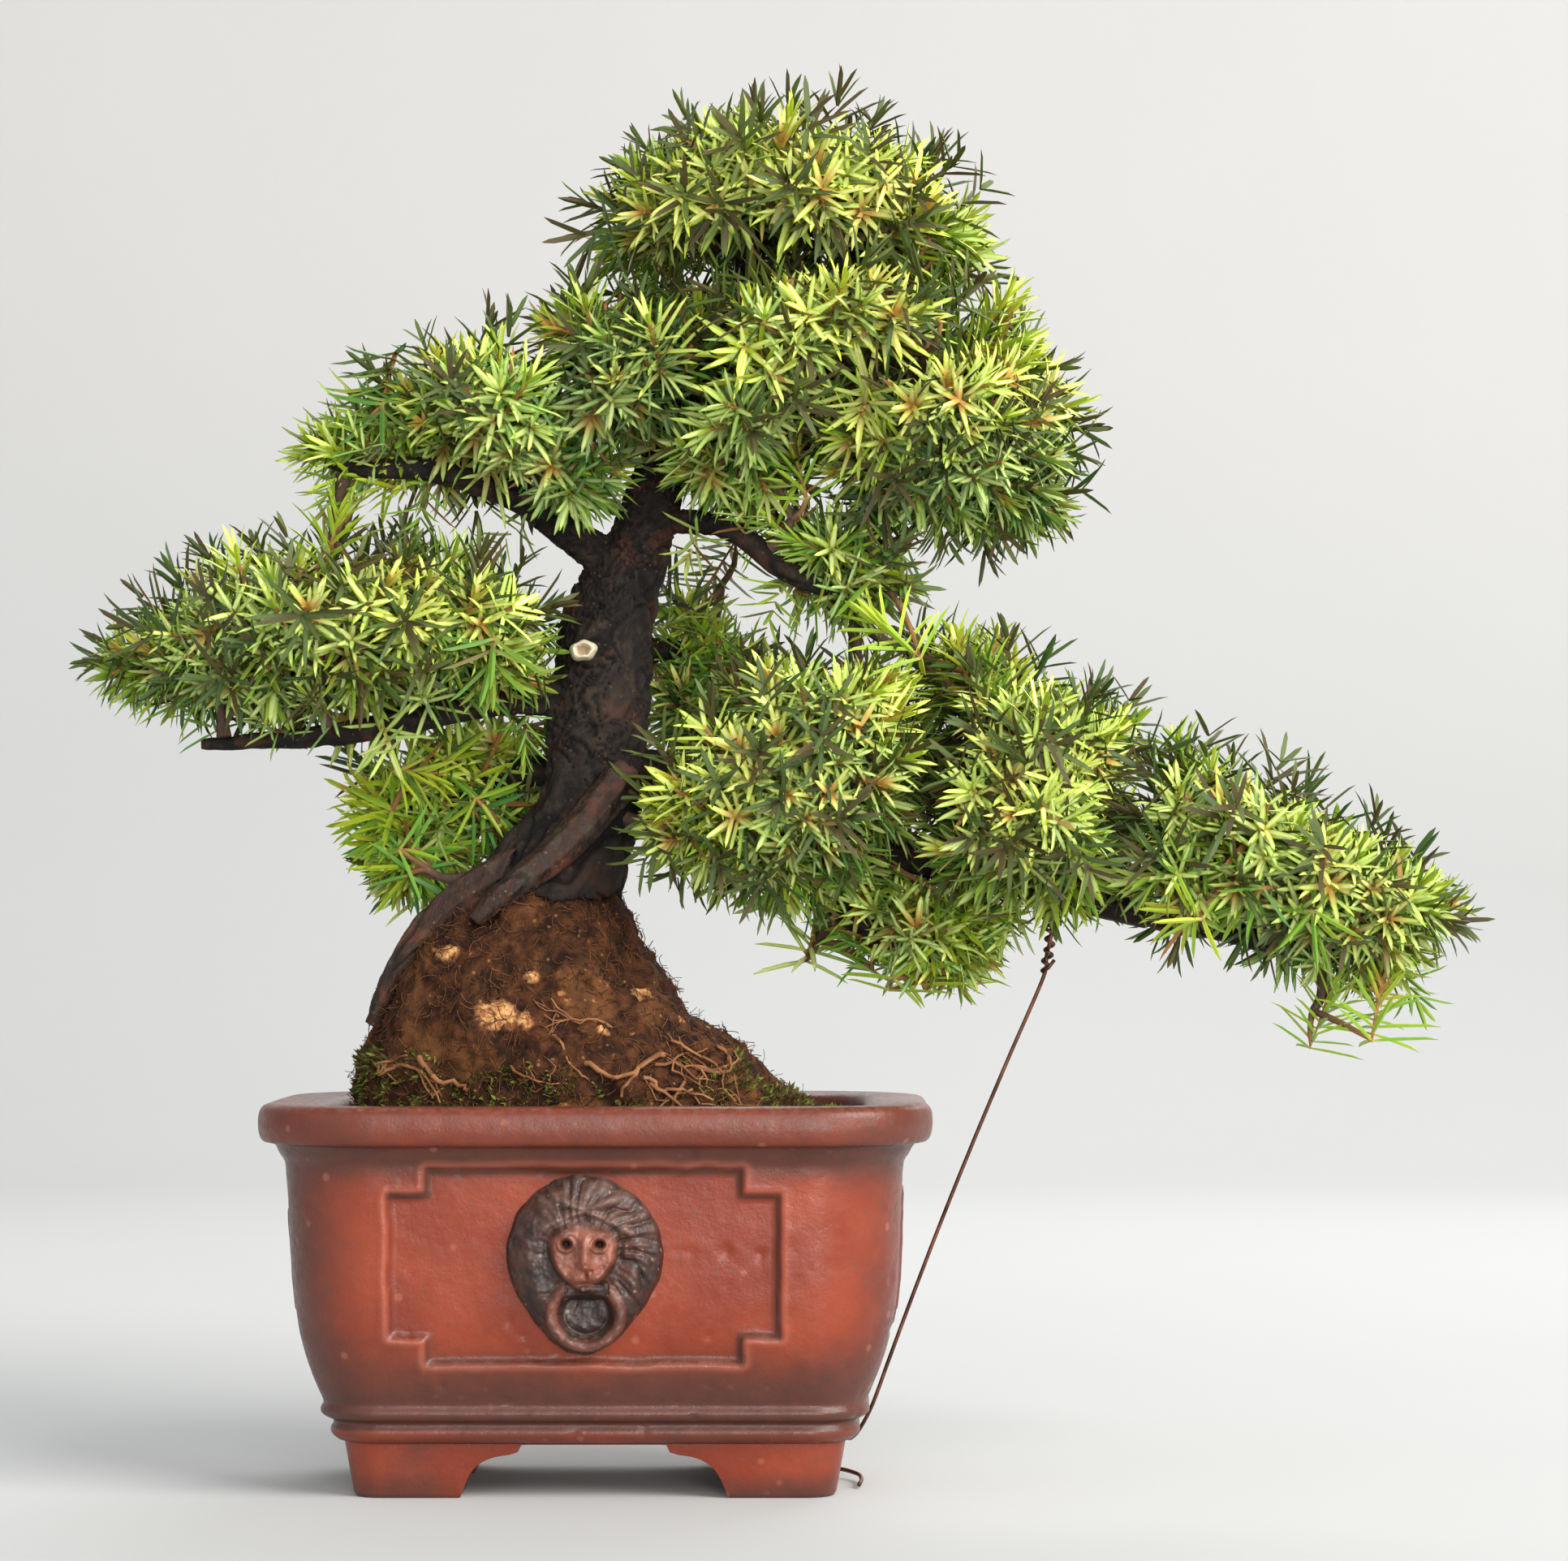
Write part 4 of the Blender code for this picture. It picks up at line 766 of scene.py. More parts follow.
# a mask in relief, drawn on a round grid; +Y out of this mesh is into the pot
def lionMesh(s):
    r, a = np.meshgrid(np.linspace(0, 1, s["radial"]) ** 0.8,
                       np.linspace(0, 2 * math.pi, s["around"], endpoint=False), indexing="ij")
    reach = 1 + 0.006 * np.sin(a * 17 + 2 * np.sin(3 * a)) + 0.015 * np.sin(a * 3 + 0.6)
    x = np.cos(a) * s["halfWidth"] * r * reach
    z = np.sin(a) * np.where(np.sin(a) > 0, s["up"], s["down"]) * r * reach
    x = x * (1 - 0.2 * ease(0, -12, z)) * (1 - 0.06 * ease(6, 11, z))
    p3 = np.stack([x, z, 0 * x], -1)
    warp = softNoise(p3, 3.2, 11)
    hair = np.abs(np.sin(a * 10.5 + 2.3 * warp + 3.4 * r)) ** 0.75
    strand = np.abs(np.sin(a * 31 + 4 * warp + 5 * r))
    inMane = ease(0.40, 0.56, r)
    locks = ease(-5, 5, x + 0.6 * z)
    h = 3.1 * np.sqrt(np.clip(1 - 0.93 * r**2, 0, 1))
    mouth = ease(1.15, 0.95, np.hypot((x - 0.3) / 3.7, (z + 7.0) / 3.5))
    h += (inMane * (1 - mouth) * ((0.22 + 0.42 * locks) * hair + (0.06 + 0.16 * locks) * strand - 0.2)
          * (1 - ease(0.93, 1, r) * 0.7))
    h += 0.75 * np.exp(-(((r - 0.7) / 0.17) ** 2))
    band1 = np.exp(-(((z - 6.1 - 0.42 * (x + 1)) / 0.65) ** 2)) * ease(-6.4, -4.5, x) * ease(5.8, 3.6, x)
    band2 = np.exp(-(((z - 6.2 + 0.46 * (x - 1)) / 0.65) ** 2)) * ease(-5.2, -3.4, x) * ease(7.6, 5.6, x)
    h += 0.8 * np.maximum(band1, band2) - 0.35 * bump(x, z, (0.2, 4.7), 2.2, 0.7)
    face = ease(1.12, 0.84, np.hypot(x / (4.5 - 0.22 * (2 - z)), (z - 0.9) / 4.5))
    h += 1.5 * face
    h += 0.85 * (bump(x, z, (-2.2, 3.65), 1.5, 0.55) + bump(x, z, (2.2, 3.6), 1.5, 0.55))
    for ex, ez in ((-2.2, 2.25), (2.15, 2.2)):
        rim = np.hypot(x - ex, (z - ez) * 1.12)
        h += (0.55 * np.exp(-(((rim - 0.98) / 0.3) ** 2)) - 0.55 * np.exp(-((rim / 0.9) ** 2))
              - 1.5 * np.exp(-((rim / 0.47) ** 4)))
    h += 1.35 * np.exp(-(((x - 0.3) / 0.85) ** 2)) * ease(4.6, 2.2, z) * ease(-1.8, -0.5, z)
    h += (1.25 * bump(x, z, (0.5, -0.6), 1.15, 0.65)
          - 0.6 * (bump(x, z, (-0.1, -1.15), 0.34, 0.22) + bump(x, z, (1.1, -1.15), 0.34, 0.22)))
    h += 1.1 * (bump(x, z, (-0.75, -2.0), 1.2, 0.75) + bump(x, z, (1.75, -2.0), 1.2, 0.75))
    h -= 0.9 * bump(x, z, (0.5, -1.9), 0.2, 0.7) + 1.2 * bump(x, z, (0.5, -3.0), 2.0, 0.36)
    h += 0.9 * bump(x, z, (0.5, -3.75), 1.2, 0.5)
    h += 0.5 * (bump(x, z, (-3.4, -0.6), 0.9, 1.3) + bump(x, z, (3.6, -0.6), 0.9, 1.3))
    inside = np.hypot((x - 0.3) / 3.7, (z + 7.0) / 3.5)
    h -= 2.0 * ease(1.05, 0.75, inside) * ease(-4.4, -5.3, z)
    ringGap = np.abs(np.hypot((x - 0.3) / 4.55, (z + 7.0) / 4.2) - 1) * 4.4
    ring = np.sqrt(np.clip(0.8**2 - ringGap**2, 0, None)) * 1.5
    ringBase = 2.5 - 0.10 * (-(z + 7))
    onRing = (ring > 0) & ~((z > -4.3) & (np.abs(x - 0.5) < 2.9))
    h = np.where(onRing, np.maximum(h, ringBase + ring), h)
    h += 0.12 * roughNoise(p3, 1.1, 8, 3) + 0.07 * softNoise(p3, 0.5, 2)
    h = h * ease(1.0, 0.955, r) ** 0.5
    tint = np.clip(face * ease(-4.4, -3.6, z) * ease(5.2, 3.6, z + 0.25 * np.abs(x)) + 0.5 * onRing
                   + 0.2 * inMane * locks * hair * ease(0.9, 0.6, r), 0, 1)
    # painted highlight on the crossed bands and on the upper hair locks
    pale = np.clip(0.9 * np.maximum(band1, band2) + 0.5 * locks * inMane * hair**3 * ease(2, 9, z), 0, 1)
    # painted shade in the eye holes and inside the ring
    hollowShade = np.clip(sum(np.exp(-((np.hypot(x - ex, z - ez) / 0.55) ** 4))
                         for ex, ez in ((-2.2, 2.25), (2.15, 2.2))), 0, 1)
    hollowShade = np.maximum(hollowShade, 0.7 * ease(1.0, 0.8, inside) * ease(-4.2, -5.0, z) * (1 - onRing))
    verts = np.stack([x, -h, z], -1)
    rim = np.stack([x[-1] * 1.004, np.full(s["around"], 0.35), z[-1] * 1.004], -1)[None]
    verts = np.concatenate([verts, rim])
    values = [np.concatenate([v, v[-1:]]).ravel() for v in (tint, pale, hollowShade)]
    rows, cols = verts.shape[:2]
    i, k = np.meshgrid(np.arange(rows - 1), np.arange(cols), indexing="ij")
    at = lambda a, b: a * cols + (b % cols)
    faces = np.stack([at(i, k), at(i, k + 1), at(i + 1, k + 1), at(i + 1, k)], -1).reshape(-1, 4)[:, ::-1]
    return verts.reshape(-1, 3), faces, dict(zip(("tint", "pale", "hollowShade"), values))


def lionLook():
    look = Look("dark brown clay", 0.46, 0.5)
    tint, pale, hollowShade = look.attribute("tint"), look.attribute("pale"), look.attribute("hollowShade")
    spots = look.group(mottle, Large=420.0, Small=1500.0)
    mane = look.over((0.018, 0.008, 0.005), (0.054, 0.019, 0.012), spots["Patches"])
    skin = look.over((0.115, 0.034, 0.020), (0.26, 0.085, 0.052), spots["Patches"])
    body = look.over(mane, skin, tint)
    # painted highlight on the bands and the upper locks
    body = look.over(body, (0.20, 0.12, 0.095), pale, 0.5)
    # painted shade in the eye holes and inside the ring
    body = look.over(body, (0.028, 0.014, 0.011), hollowShade, 0.9)
    body = look.over(body, (0.4, 0.3, 0.26), look.speckled(900.0, 0.12), 0.5)
    body = look.over(body, (0.3, 0.2, 0.16), look.dusty(0.4))
    look.color(body)
    look.rough(look.ramp(spots["Grain"], 0.3, 0.7, 0.34, 0.58))
    look.relief(spots["Grain"], 0.1, 0.8)
    return look.material


lionVerts, lionFaces, lionValues = lionMesh(maskSet)
brownClay = lionLook()
maskZ = 31.2 + 0.9
seat = 32.0 - bodyInset(maskZ) - 0.95
for name, facing in (("front", -1), ("back", 1)):
    turned = lionVerts * (1, 1, 1) if facing < 0 else lionVerts * (-1, -1, 1)
    spot = np.array([facing * 1.0, facing * (seat - 0.25), maskZ])
    place(f"lion_{name}", meshFrom(f"lion_{name}", (turned + spot) * mm + potMid, lionFaces, lionValues),
          brownClay, "brown_clay", [f"lion_mask_{name}"])
print("masks done")


def geoTree(name, inputs):
    tree = bpy.data.node_groups.new(name, "GeometryNodeTree")
    tree.interface.new_socket("Geometry", in_out="INPUT", socket_type="NodeSocketGeometry")
    for title, kind, value in inputs:
        socket = tree.interface.new_socket(title, in_out="INPUT", socket_type="NodeSocket" + kind)
        if value is not None:
            socket.default_value = value
    tree.interface.new_socket("Geometry", in_out="OUTPUT", socket_type="NodeSocketGeometry")
    return tree, tree.nodes.new("NodeGroupInput").outputs, tree.nodes.new("NodeGroupOutput").inputs[0]


def put(tree, kind, sockets=None, **settings):
    node = tree.nodes.new(kind)
    for key, value in settings.items():
        setattr(node, key, value)
    for key, value in (sockets or {}).items():
        if isinstance(value, bpy.types.NodeSocket):
            tree.links.new(value, node.inputs[key])
        else:
            node.inputs[key].default_value = value
    return node


def sums(tree, operation, a, b=0.0, c=0.0):
    return put(tree, "ShaderNodeMath", {0: a, 1: b, 2: c}, operation=operation).outputs[0]


def readNamed(tree, name, kind="FLOAT"):
    return put(tree, "GeometryNodeInputNamedAttribute", {"Name": name}, data_type=kind).outputs["Attribute"]


# a random number for each point
def between(tree, low, high, seed, number):
    node = put(tree, "FunctionNodeRandomValue", {2: low, 3: high}, data_type="FLOAT")
    tree.links.new(sums(tree, "ADD", seed, float(number)), node.inputs["Seed"])
    return node.outputs[1]


# runs a node tree on an object and hands back the mesh it makes
def grow(source, tree, values):
    step = source.modifiers.new("grow", "NODES")
    step.node_group = tree
    for item in tree.interface.items_tree:
        if item.item_type == "SOCKET" and item.in_out == "INPUT" and item.name in values:
            step[item.identifier] = values[item.name]
    return baked(source)


branchNames = sorted(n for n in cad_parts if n.startswith("branch_"))
woodSet = dict(voxel=0.42, ridge=0.42, flake=0.34, warp=1.0)


# the wood as one skin, with bark raised along the way each limb runs
def barkMesh(names, s, smoothing=2):
    mesh = grownTogether(cadCopy(names), s["voxel"] * mm, smoothing)
    co, n = vertsOf(mesh) / mm, normalsOf(mesh)
    trees, axes = [], []
    for name in names:
        part = vertsOf(cadCopy([name])) / mm
        vectors = np.linalg.eigh(np.cov(part.T))[1]
        trees.append(part)
        axes.append(vectors[:, -1])
    nearest = np.stack([np.min(np.linalg.norm(co[::1, None, :] - part[None, ::6], axis=2), axis=1)
                        if len(part) < 900
                        else np.min([np.linalg.norm(co - q, axis=1) for q in part[::9]], axis=0)
                        for part in trees], 1)
    weight = np.exp(-nearest / 1.5)
    axis = (weight[..., None] * np.array(axes)).sum(1)
    axis /= np.linalg.norm(axis, axis=1)[:, None]
    run = (co * axis).sum(1)
    bend = co + s["warp"] * np.stack([softNoise(co, 4, k) for k in (1, 2, 3)], 1)
    flat = bend - axis * (run * 0.76)[:, None]
    ridge = 1 - np.abs(softNoise(flat, 1.7, 5)) * 2.2
    plates = np.abs(softNoise(flat, 2.6, 8))
    crack = ease(0.16, 0.02, plates)
    fine = roughNoise(co - axis * (run * 0.5)[:, None], 0.8, 12, 3)
    lumps = 0.45 * softNoise(co, 6.5, 15)
    h = (s["ridge"] * np.clip(ridge, -0.4, 1) * 0.5 + s["flake"] * ease(0.05, 0.25, plates) - 0.42 * crack
         + 0.16 * fine + lumps)
    slim = np.array([1.0 if name == "trunk" else 0.45 for name in names])
    h *= (weight / weight.sum(1)[:, None]) @ slim
    setVerts(mesh, (co + n * (h - 0.12)[:, None]) * mm)
    addAttribute(mesh, "crack", np.clip(crack + 0.35 * (ridge < 0.15), 0, 1))
    addAttribute(mesh, "height", np.clip(0.5 + h, 0, 1))
    return mesh


def barkLook(name, dark, mid, light, red, shine):
    look = Look(name, 0.78, 0.35)
    t = look.tree
    crack, height = look.attribute("crack"), look.attribute("height")
    grain = noiseNode(t, look.stretched(1, 1, 0.28), 0.55, 5.0, 0.65)
    body = look.over(dark, mid, look.ramp(grain, 0.36, 0.66))
    body = look.over(body, light, look.patch(0.5, 0.66, 3.2, 5.0, 0.65), 0.8)
    body = look.over(body, red, look.patch(0.52, 0.68, 5.5, 4.0), 0.75)
    body = look.over(body, light, look.ramp(height, 0.62, 1.0), 0.35)
    body = look.over(body, tuple(v * 0.35 for v in dark), crack, 0.8)
    body = look.over(body, tuple(min(1, v * 2.2) for v in light), look.speckled(1300.0, 0.18), 0.7)
    look.color(body)
    look.rough(look.ramp(grain, 0.3, 0.7, shine, 0.92))
    look.relief(mathNode(t, "MULTIPLY_ADD", look.noise(0.3, 4.0), 0.5, grain), 0.22, 0.9)
    return look.material


bark = barkLook("dark bark", (0.003, 0.0015, 0.001), (0.010, 0.005, 0.003), (0.034, 0.021, 0.012),
                (0.060, 0.018, 0.008), 0.76)
rootBark = barkLook("root bark", (0.018, 0.008, 0.005), (0.055, 0.024, 0.014), (0.065, 0.050, 0.030),
                    (0.115, 0.036, 0.020), 0.48)
place("bark_wood", barkMesh(["trunk"] + branchNames, woodSet), bark, "bark", ["trunk"] + branchNames)
for name in ("root_left", "root_front"):
    place(name + "_strap",
          barkMesh([name], {**woodSet, "voxel": 0.3, "ridge": 0.25, "flake": 0.12, "warp": 0.5}), rootBark,
          "root_bark", [name])
print("wood done")


# the pruned stub: a healed collar round a pale cut face
def stubMesh():
    low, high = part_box("pruned_stub")
    middle = np.array([(low.x + high.x) / 2, low.y, (low.z + high.z) / 2]) / mm
    r, a = np.meshgrid(np.linspace(0, 1, 26), np.linspace(0, 2 * math.pi, 48, endpoint=False),
                       indexing="ij")
    wide = 1.75 * (1 + 0.1 * np.sin(2 * a + 1) + 0.06 * np.sin(5 * a))
    x, z = np.cos(a) * wide * r, np.sin(a) * wide * r * 0.9
    h = 0.55 * np.exp(-(((r - 0.66) / 0.16) ** 2)) - 0.35 * ease(0.6, 0.2, r) - 1.6 * ease(0.8, 1, r) ** 2
    p = np.stack([x, 0 * x, z], -1)
    h = h + 0.16 * roughNoise(p, 0.9, 3, 4)
    verts = (np.stack([x, -h, z], -1) + middle + (0, 0.7, 0)).reshape(-1, 3)
    i, k = np.meshgrid(np.arange(25), np.arange(48), indexing="ij")
    at = lambda a, b: a * 48 + (b % 48)
    faces = np.stack([at(i, k), at(i, k + 1), at(i + 1, k + 1), at(i + 1, k)], -1)
    faces = faces.reshape(-1, 4)[:, ::-1].tolist()
    back = middle + (0, 2.6, 0)
    verts = np.vstack([verts, back])
    faces += [(25 * 48 + (k + 1) % 48, 25 * 48 + k, 26 * 48) for k in range(48)]
    return meshFrom("pruned_stub", verts * mm, faces, {"open": np.append(ease(0.62, 0.3, r).ravel(), 0)})


def cutWoodLook():
    look = Look("cut wood", 0.8, 0.3)
    pale = look.over((0.50, 0.42, 0.27), (0.72, 0.66, 0.5), look.noise(0.5, 4.0))
    core = look.over((0.23, 0.16, 0.09), (0.46, 0.36, 0.22), look.noise(0.35, 4.0))
    body = look.over(pale, core, look.attribute("open"))
    look.color(look.over(body, (0.12, 0.08, 0.05), look.speckled(2600.0, 0.3), 0.7))
    look.relief(look.noise(0.4, 5.0), 0.25)
    return look.material


place("cut_stub", stubMesh(), cutWoodLook(), "cut_wood", ["pruned_stub"])

moundSet = dict(voxel=0.62, rough=1.0,
                stones=[(-13.4, 63.8, 2.5, 1.9), (-20.0, 72.3, 1.5, 1.2), (5.9, 66.9, 1.5, 0.9),
                        (-8.8, 68.7, 1.0, 0.8), (1.0, 61.8, 0.8, 0.7), (-9.6, 63.0, 0.9, 1.0)])


def moundMesh(s):
    mesh = grownTogether(cadCopy(["root_mound"]), s["voxel"] * mm, 3)
    co, n = vertsOf(mesh) / mm, normalsOf(mesh)
    clod = roughNoise(co, 7.0, 40, 5)
    fibre = 1 - np.abs(softNoise(co + 1.6 * np.stack([softNoise(co, 2.2, k) for k in (4, 5, 6)], 1), 1.15,
                                 44)) * 2
    pits = ease(0.35, 0.75, softNoise(co, 2.6, 48))
    h = s["rough"] * clod + 0.42 * fibre - 1.1 * pits
    q = co - potMid / mm + 0.7 * np.stack([softNoise(co, 1.6, k) for k in (61, 62, 63)], 1)
    stone = np.zeros(len(co))
    for x, z, wide, high in s["stones"]:
        gap = ((q[:, 0] - x) / wide) ** 2 + ((q[:, 2] - z) / high) ** 2
        stone = np.maximum(stone, ease(1.15, 0.7, gap) * (n[:, 1] < 0.2))
    h = h * (1 - 0.7 * stone) + 0.55 * stone
    addAttribute(mesh, "stone", stone)
    setVerts(mesh, (co + n * (h - 0.35)[:, None]) * mm)
    addAttribute(mesh, "pit", np.clip(pits + 0.25 * (1 - fibre), 0, 1))
    return mesh


# short curved fibres lying on a surface, or standing off it
def strandTree():
    tree, given, out = geoTree("strands",
                               [("Count", "Int", 3000), ("Length", "Float", 0.004), ("Lift", "Float", 0.2),
                                ("Thick", "Float", 0.00009), ("Droop", "Float", 0.0), ("Seed", "Int", 0),
                                ("Finish", "Material", None)])
    area = put(tree, "GeometryNodeAttributeStatistic",
               {"Geometry": given["Geometry"],
                "Attribute": put(tree, "GeometryNodeInputMeshFaceArea").outputs[0]}, data_type="FLOAT",
               domain="FACE")
    density = sums(tree, "DIVIDE", given["Count"], area.outputs["Sum"])
    points = put(tree, "GeometryNodeDistributePointsOnFaces",
                 {"Mesh": given["Geometry"], "Density": density, "Seed": given["Seed"]})
    seed = given["Seed"]
    noted = put(tree, "GeometryNodeStoreNamedAttribute",
                {"Geometry": points.outputs["Points"], "Name": "strand",
                 "Value": between(tree, 0.0, 1.0, seed, 3)}, data_type="FLOAT", domain="POINT")
    line = put(tree, "GeometryNodeCurveQuadraticBezier",
               {"Resolution": 5, "Start": (0, 0, 0), "Middle": (0.5, 0.22, 0), "End": (1.0, 0, 0)})
    long = sums(tree, "MULTIPLY", given["Length"], between(tree, 0.35, 1.4, seed, 1))
    spin = put(tree, "ShaderNodeCombineXYZ", {"Z": between(tree, 0.0, 6.283, seed, 2)})
    lift = put(tree, "ShaderNodeCombineXYZ",
               {"Y": sums(tree, "MULTIPLY", given["Lift"], between(tree, -1.5, 0.15, seed, 4)),
                "X": between(tree, -1.0, 1.0, seed, 5)})
    turned = points.outputs["Rotation"]
    for by in (spin, lift):
        rotation = put(tree, "FunctionNodeEulerToRotation", {"Euler": by.outputs[0]})
        turned = put(tree, "FunctionNodeRotateRotation", {0: turned, 1: rotation.outputs[0]},
                     rotation_space="LOCAL").outputs[0]
    many = put(tree, "GeometryNodeInstanceOnPoints",
               {"Points": noted.outputs[0], "Instance": line.outputs[0], "Rotation": turned, "Scale": long})
    lines = put(tree, "GeometryNodeRealizeInstances", {0: many.outputs[0]})
    place = put(tree, "GeometryNodeInputPosition").outputs[0]
    wave = put(tree, "ShaderNodeTexNoise", {"Vector": place, "Scale": 420.0, "Detail": 1.0})
    centred = put(tree, "ShaderNodeVectorMath", {0: wave.outputs["Color"], 1: (0.5, 0.5, 0.5)},
                  operation="SUBTRACT")
    shake = put(tree, "ShaderNodeVectorMath",
                {0: centred.outputs[0], "Scale": sums(tree, "MULTIPLY", given["Length"], 0.55)},
                operation="SCALE")
    waved = put(tree, "GeometryNodeSetPosition", {"Geometry": lines.outputs[0], "Offset": shake.outputs[0]})
    ring = put(tree, "GeometryNodeCurvePrimitiveCircle", {"Resolution": 3, "Radius": given["Thick"]},
               mode="RADIUS")
    tube = put(tree, "GeometryNodeCurveToMesh",
               {"Curve": waved.outputs[0], "Profile Curve": ring.outputs[0], "Fill Caps": True})
    solid = put(tree, "GeometryNodeRealizeInstances", {0: tube.outputs[0]})
    done = put(tree, "GeometryNodeSetMaterial", {"Geometry": solid.outputs[0], "Material": given["Finish"]})
    tree.links.new(done.outputs[0], out)
    return tree


def moundLook():
    look = Look("root mound", 0.92, 0.2)
    t = look.tree
    q = look.noise(2.2, 5.0, 0.65)
    body = look.over((0.016, 0.006, 0.003), (0.100, 0.034, 0.012), look.ramp(q, 0.35, 0.65))
    body = look.over(body, (0.215, 0.085, 0.028), look.patch(0.5, 0.66, 9.0, 4.0), 0.7)
    # painted shade in the pits and between the fibres
    body = look.over(body, (0.022, 0.011, 0.007), look.attribute("pit"), 0.75)
    body = look.over(body, (0.50, 0.22, 0.075), look.patch(0.66, 0.71, 4.6, 3.0), 0.8)
    grit = look.over((0.30, 0.105, 0.035), (0.74, 0.40, 0.16), look.patch(0.38, 0.62, 0.9, 4.0, 0.7))
    body = look.over(body, grit, look.attribute("stone"))
    body = look.over(body, (0.34, 0.18, 0.08), look.speckled(1000.0, 0.12), 0.6)
    body = look.over(body, (0.03, 0.015, 0.01), look.speckled(1500.0, 0.3), 0.7)
    parts = t.nodes.new("ShaderNodeSeparateXYZ")
    link(t, look.place, parts.inputs[0])
    low = look.ramp(parts.outputs["Z"], 0.0525, 0.0485)
    body = look.over(body, (0.075, 0.12, 0.03),
                     look.times(look.times(low, 0.8), look.patch(0.42, 0.55, 2.5, 4.0)))
    look.color(body)
    look.relief(mathNode(t, "MULTIPLY_ADD", look.noise(0.35, 4.0, 0.75), 0.6, q), 0.45, 1.0)
    return look.material


def strandLook(name, dark, light):
    look = Look(name, 0.85, 0.25)
    body = look.over(dark, light, look.attribute("strand"))
    look.color(look.over(body, dark, look.noise(1.6, 3.0), 0.5))
    look.relief(look.noise(0.2, 2.0), 0.03)
    return look.material


strands = strandTree()
moundSkin = moundMesh(moundSet)
place("mound_skin", moundSkin, moundLook(), "peat", ["root_mound"])
fibreFinish = strandLook("coir fibres", (0.022, 0.009, 0.004), (0.21, 0.085, 0.030))
for title, count, long, lift, thick, seed in (("mound_fibres", 5700, 2.2, 0.2, 0.065, 1),
                                              ("mound_hairs", 1700, 1.6, 0.7, 0.045, 2)):
    made = grow(spare(title, moundSkin.copy()), strands,
                {"Count": count, "Length": long * mm, "Lift": lift, "Thick": thick * mm, "Seed": seed,
                 "Finish": fibreFinish})
    place(title, made, fibreFinish, "peat", ["root_mound"])
    print(title, len(made.polygons))


# the faces of a mesh whose middles pass a test
def faceSubset(mesh, keep):
    bm = bmesh.new()
    bm.from_mesh(mesh)
    middles = np.array([f.calc_center_median()[:] for f in bm.faces])
    chosen = keep(middles / mm, np.array([f.normal[:] for f in bm.faces]))
    bmesh.ops.delete(bm, geom=[f for f, stay in zip(bm.faces, chosen) if not stay], context="FACES")
    out = bpy.data.meshes.new("part")
    bm.to_mesh(out)
    bm.free()
    return out


moundTree = treeOf(moundSkin)
rootletSet = dict(count=22, steps=9, seed=31,
                  runs=[(0.42, [(-1.1, 57.4), (2.9, 55.6), (5.1, 56.3), (7.5, 58.0), (10.9, 60.3)]),
                        (0.44, [(9.4, 59.2), (6.6, 57.4), (4.6, 55.2), (3.6, 53.4)]),
                        (0.32, [(7.3, 56.3), (10.2, 54.2), (14.5, 54.2), (17.5, 54.9)]),
                        (0.30, [(8.0, 55.2), (10.9, 53.2), (14.0, 52.6)]),
                        (0.26, [(-5.5, 60.7), (-2.9, 57.0), (0.0, 54.2)]),
                        (0.24, [(12.4, 62.1), (16.8, 59.2), (20.5, 56.3), (24.2, 53.4)]),
                        (0.22, [(10.2, 58.5), (13.4, 57.0), (16.0, 57.4)]),
                        (0.5, [(-24.5, 58.6), (-21.0, 55.0), (-17.0, 53.8)]),
                        (0.24, [(-12.0, 57.0), (-8.0, 55.4), (-4.0, 54.9)])])


# thin roots that run down over the mound and fork
def rootletLines(s):
    rng = np.random.default_rng(s["seed"])
    verts, edges, thick = [], [], []

    def run(spot, heading, steps, radius, forks):
        last = None
        for i in range(steps):
            near, normal, _, _ = moundTree.find_nearest(Vector(spot))
            spot = np.array(near + normal * (radius * 0.8 * mm + (0.25 * mm if i % 3 else 0)))
            verts.append(spot)
            thick.append(radius * (1 - 0.6 * i / steps) * mm)
            if last is not None:
                edges.append((last, len(verts) - 1))
            last = len(verts) - 1
            heading = heading + rng.normal(0, 0.42, 3)
            heading -= np.array(normal) * (heading @ np.array(normal))
            heading /= np.linalg.norm(heading) + 1e-9
            if forks and i in (3, 5):
                run(spot.copy(), heading + rng.normal(0, 0.9, 3), steps - i, radius * 0.7, forks - 1)
            spot = spot + heading * 1.25 * mm

    for i in range(s["count"]):
        right = i < s["count"] * 0.6
        x = rng.uniform(4, 24) if right else rng.uniform(-30, 8)
        z = rng.uniform(50, 60) if right else rng.uniform(50, 66)
        side = -1 if rng.random() < 0.7 else 1
        run(np.array([x, side * 16.0, z]) * mm + potMid,
            np.array([rng.choice([-1.0, 1.0]), 0, rng.uniform(-0.6, 0.2)]), s["steps"],
            rng.uniform(0.13, 0.34), 2)
    for radius, corners in s["runs"]:
        route = resampled(rounded(corners, 2), 0.7)
        last = None
        for i, (x, z) in enumerate(route):
            start = np.array((x, -19.0 if z < 58 else -16.0, z)) * mm + potMid
            near, normal, _, _ = moundTree.find_nearest(Vector(start))
            verts.append(np.array(near + normal * (radius * 1.1 + 0.35 * math.sin(i * 0.9) ** 2) * mm))
            thick.append(radius * (1 - 0.55 * i / len(route)) * mm)
            if last is not None:
                edges.append((last, len(verts) - 1))
            last = len(verts) - 1
    mesh = bpy.data.meshes.new("rootlets")
    mesh.from_pydata([tuple(v) for v in verts], edges, [])
    addAttribute(mesh, "thick", thick)
    addAttribute(mesh, "strand", rng.random(len(thick)))
    return mesh


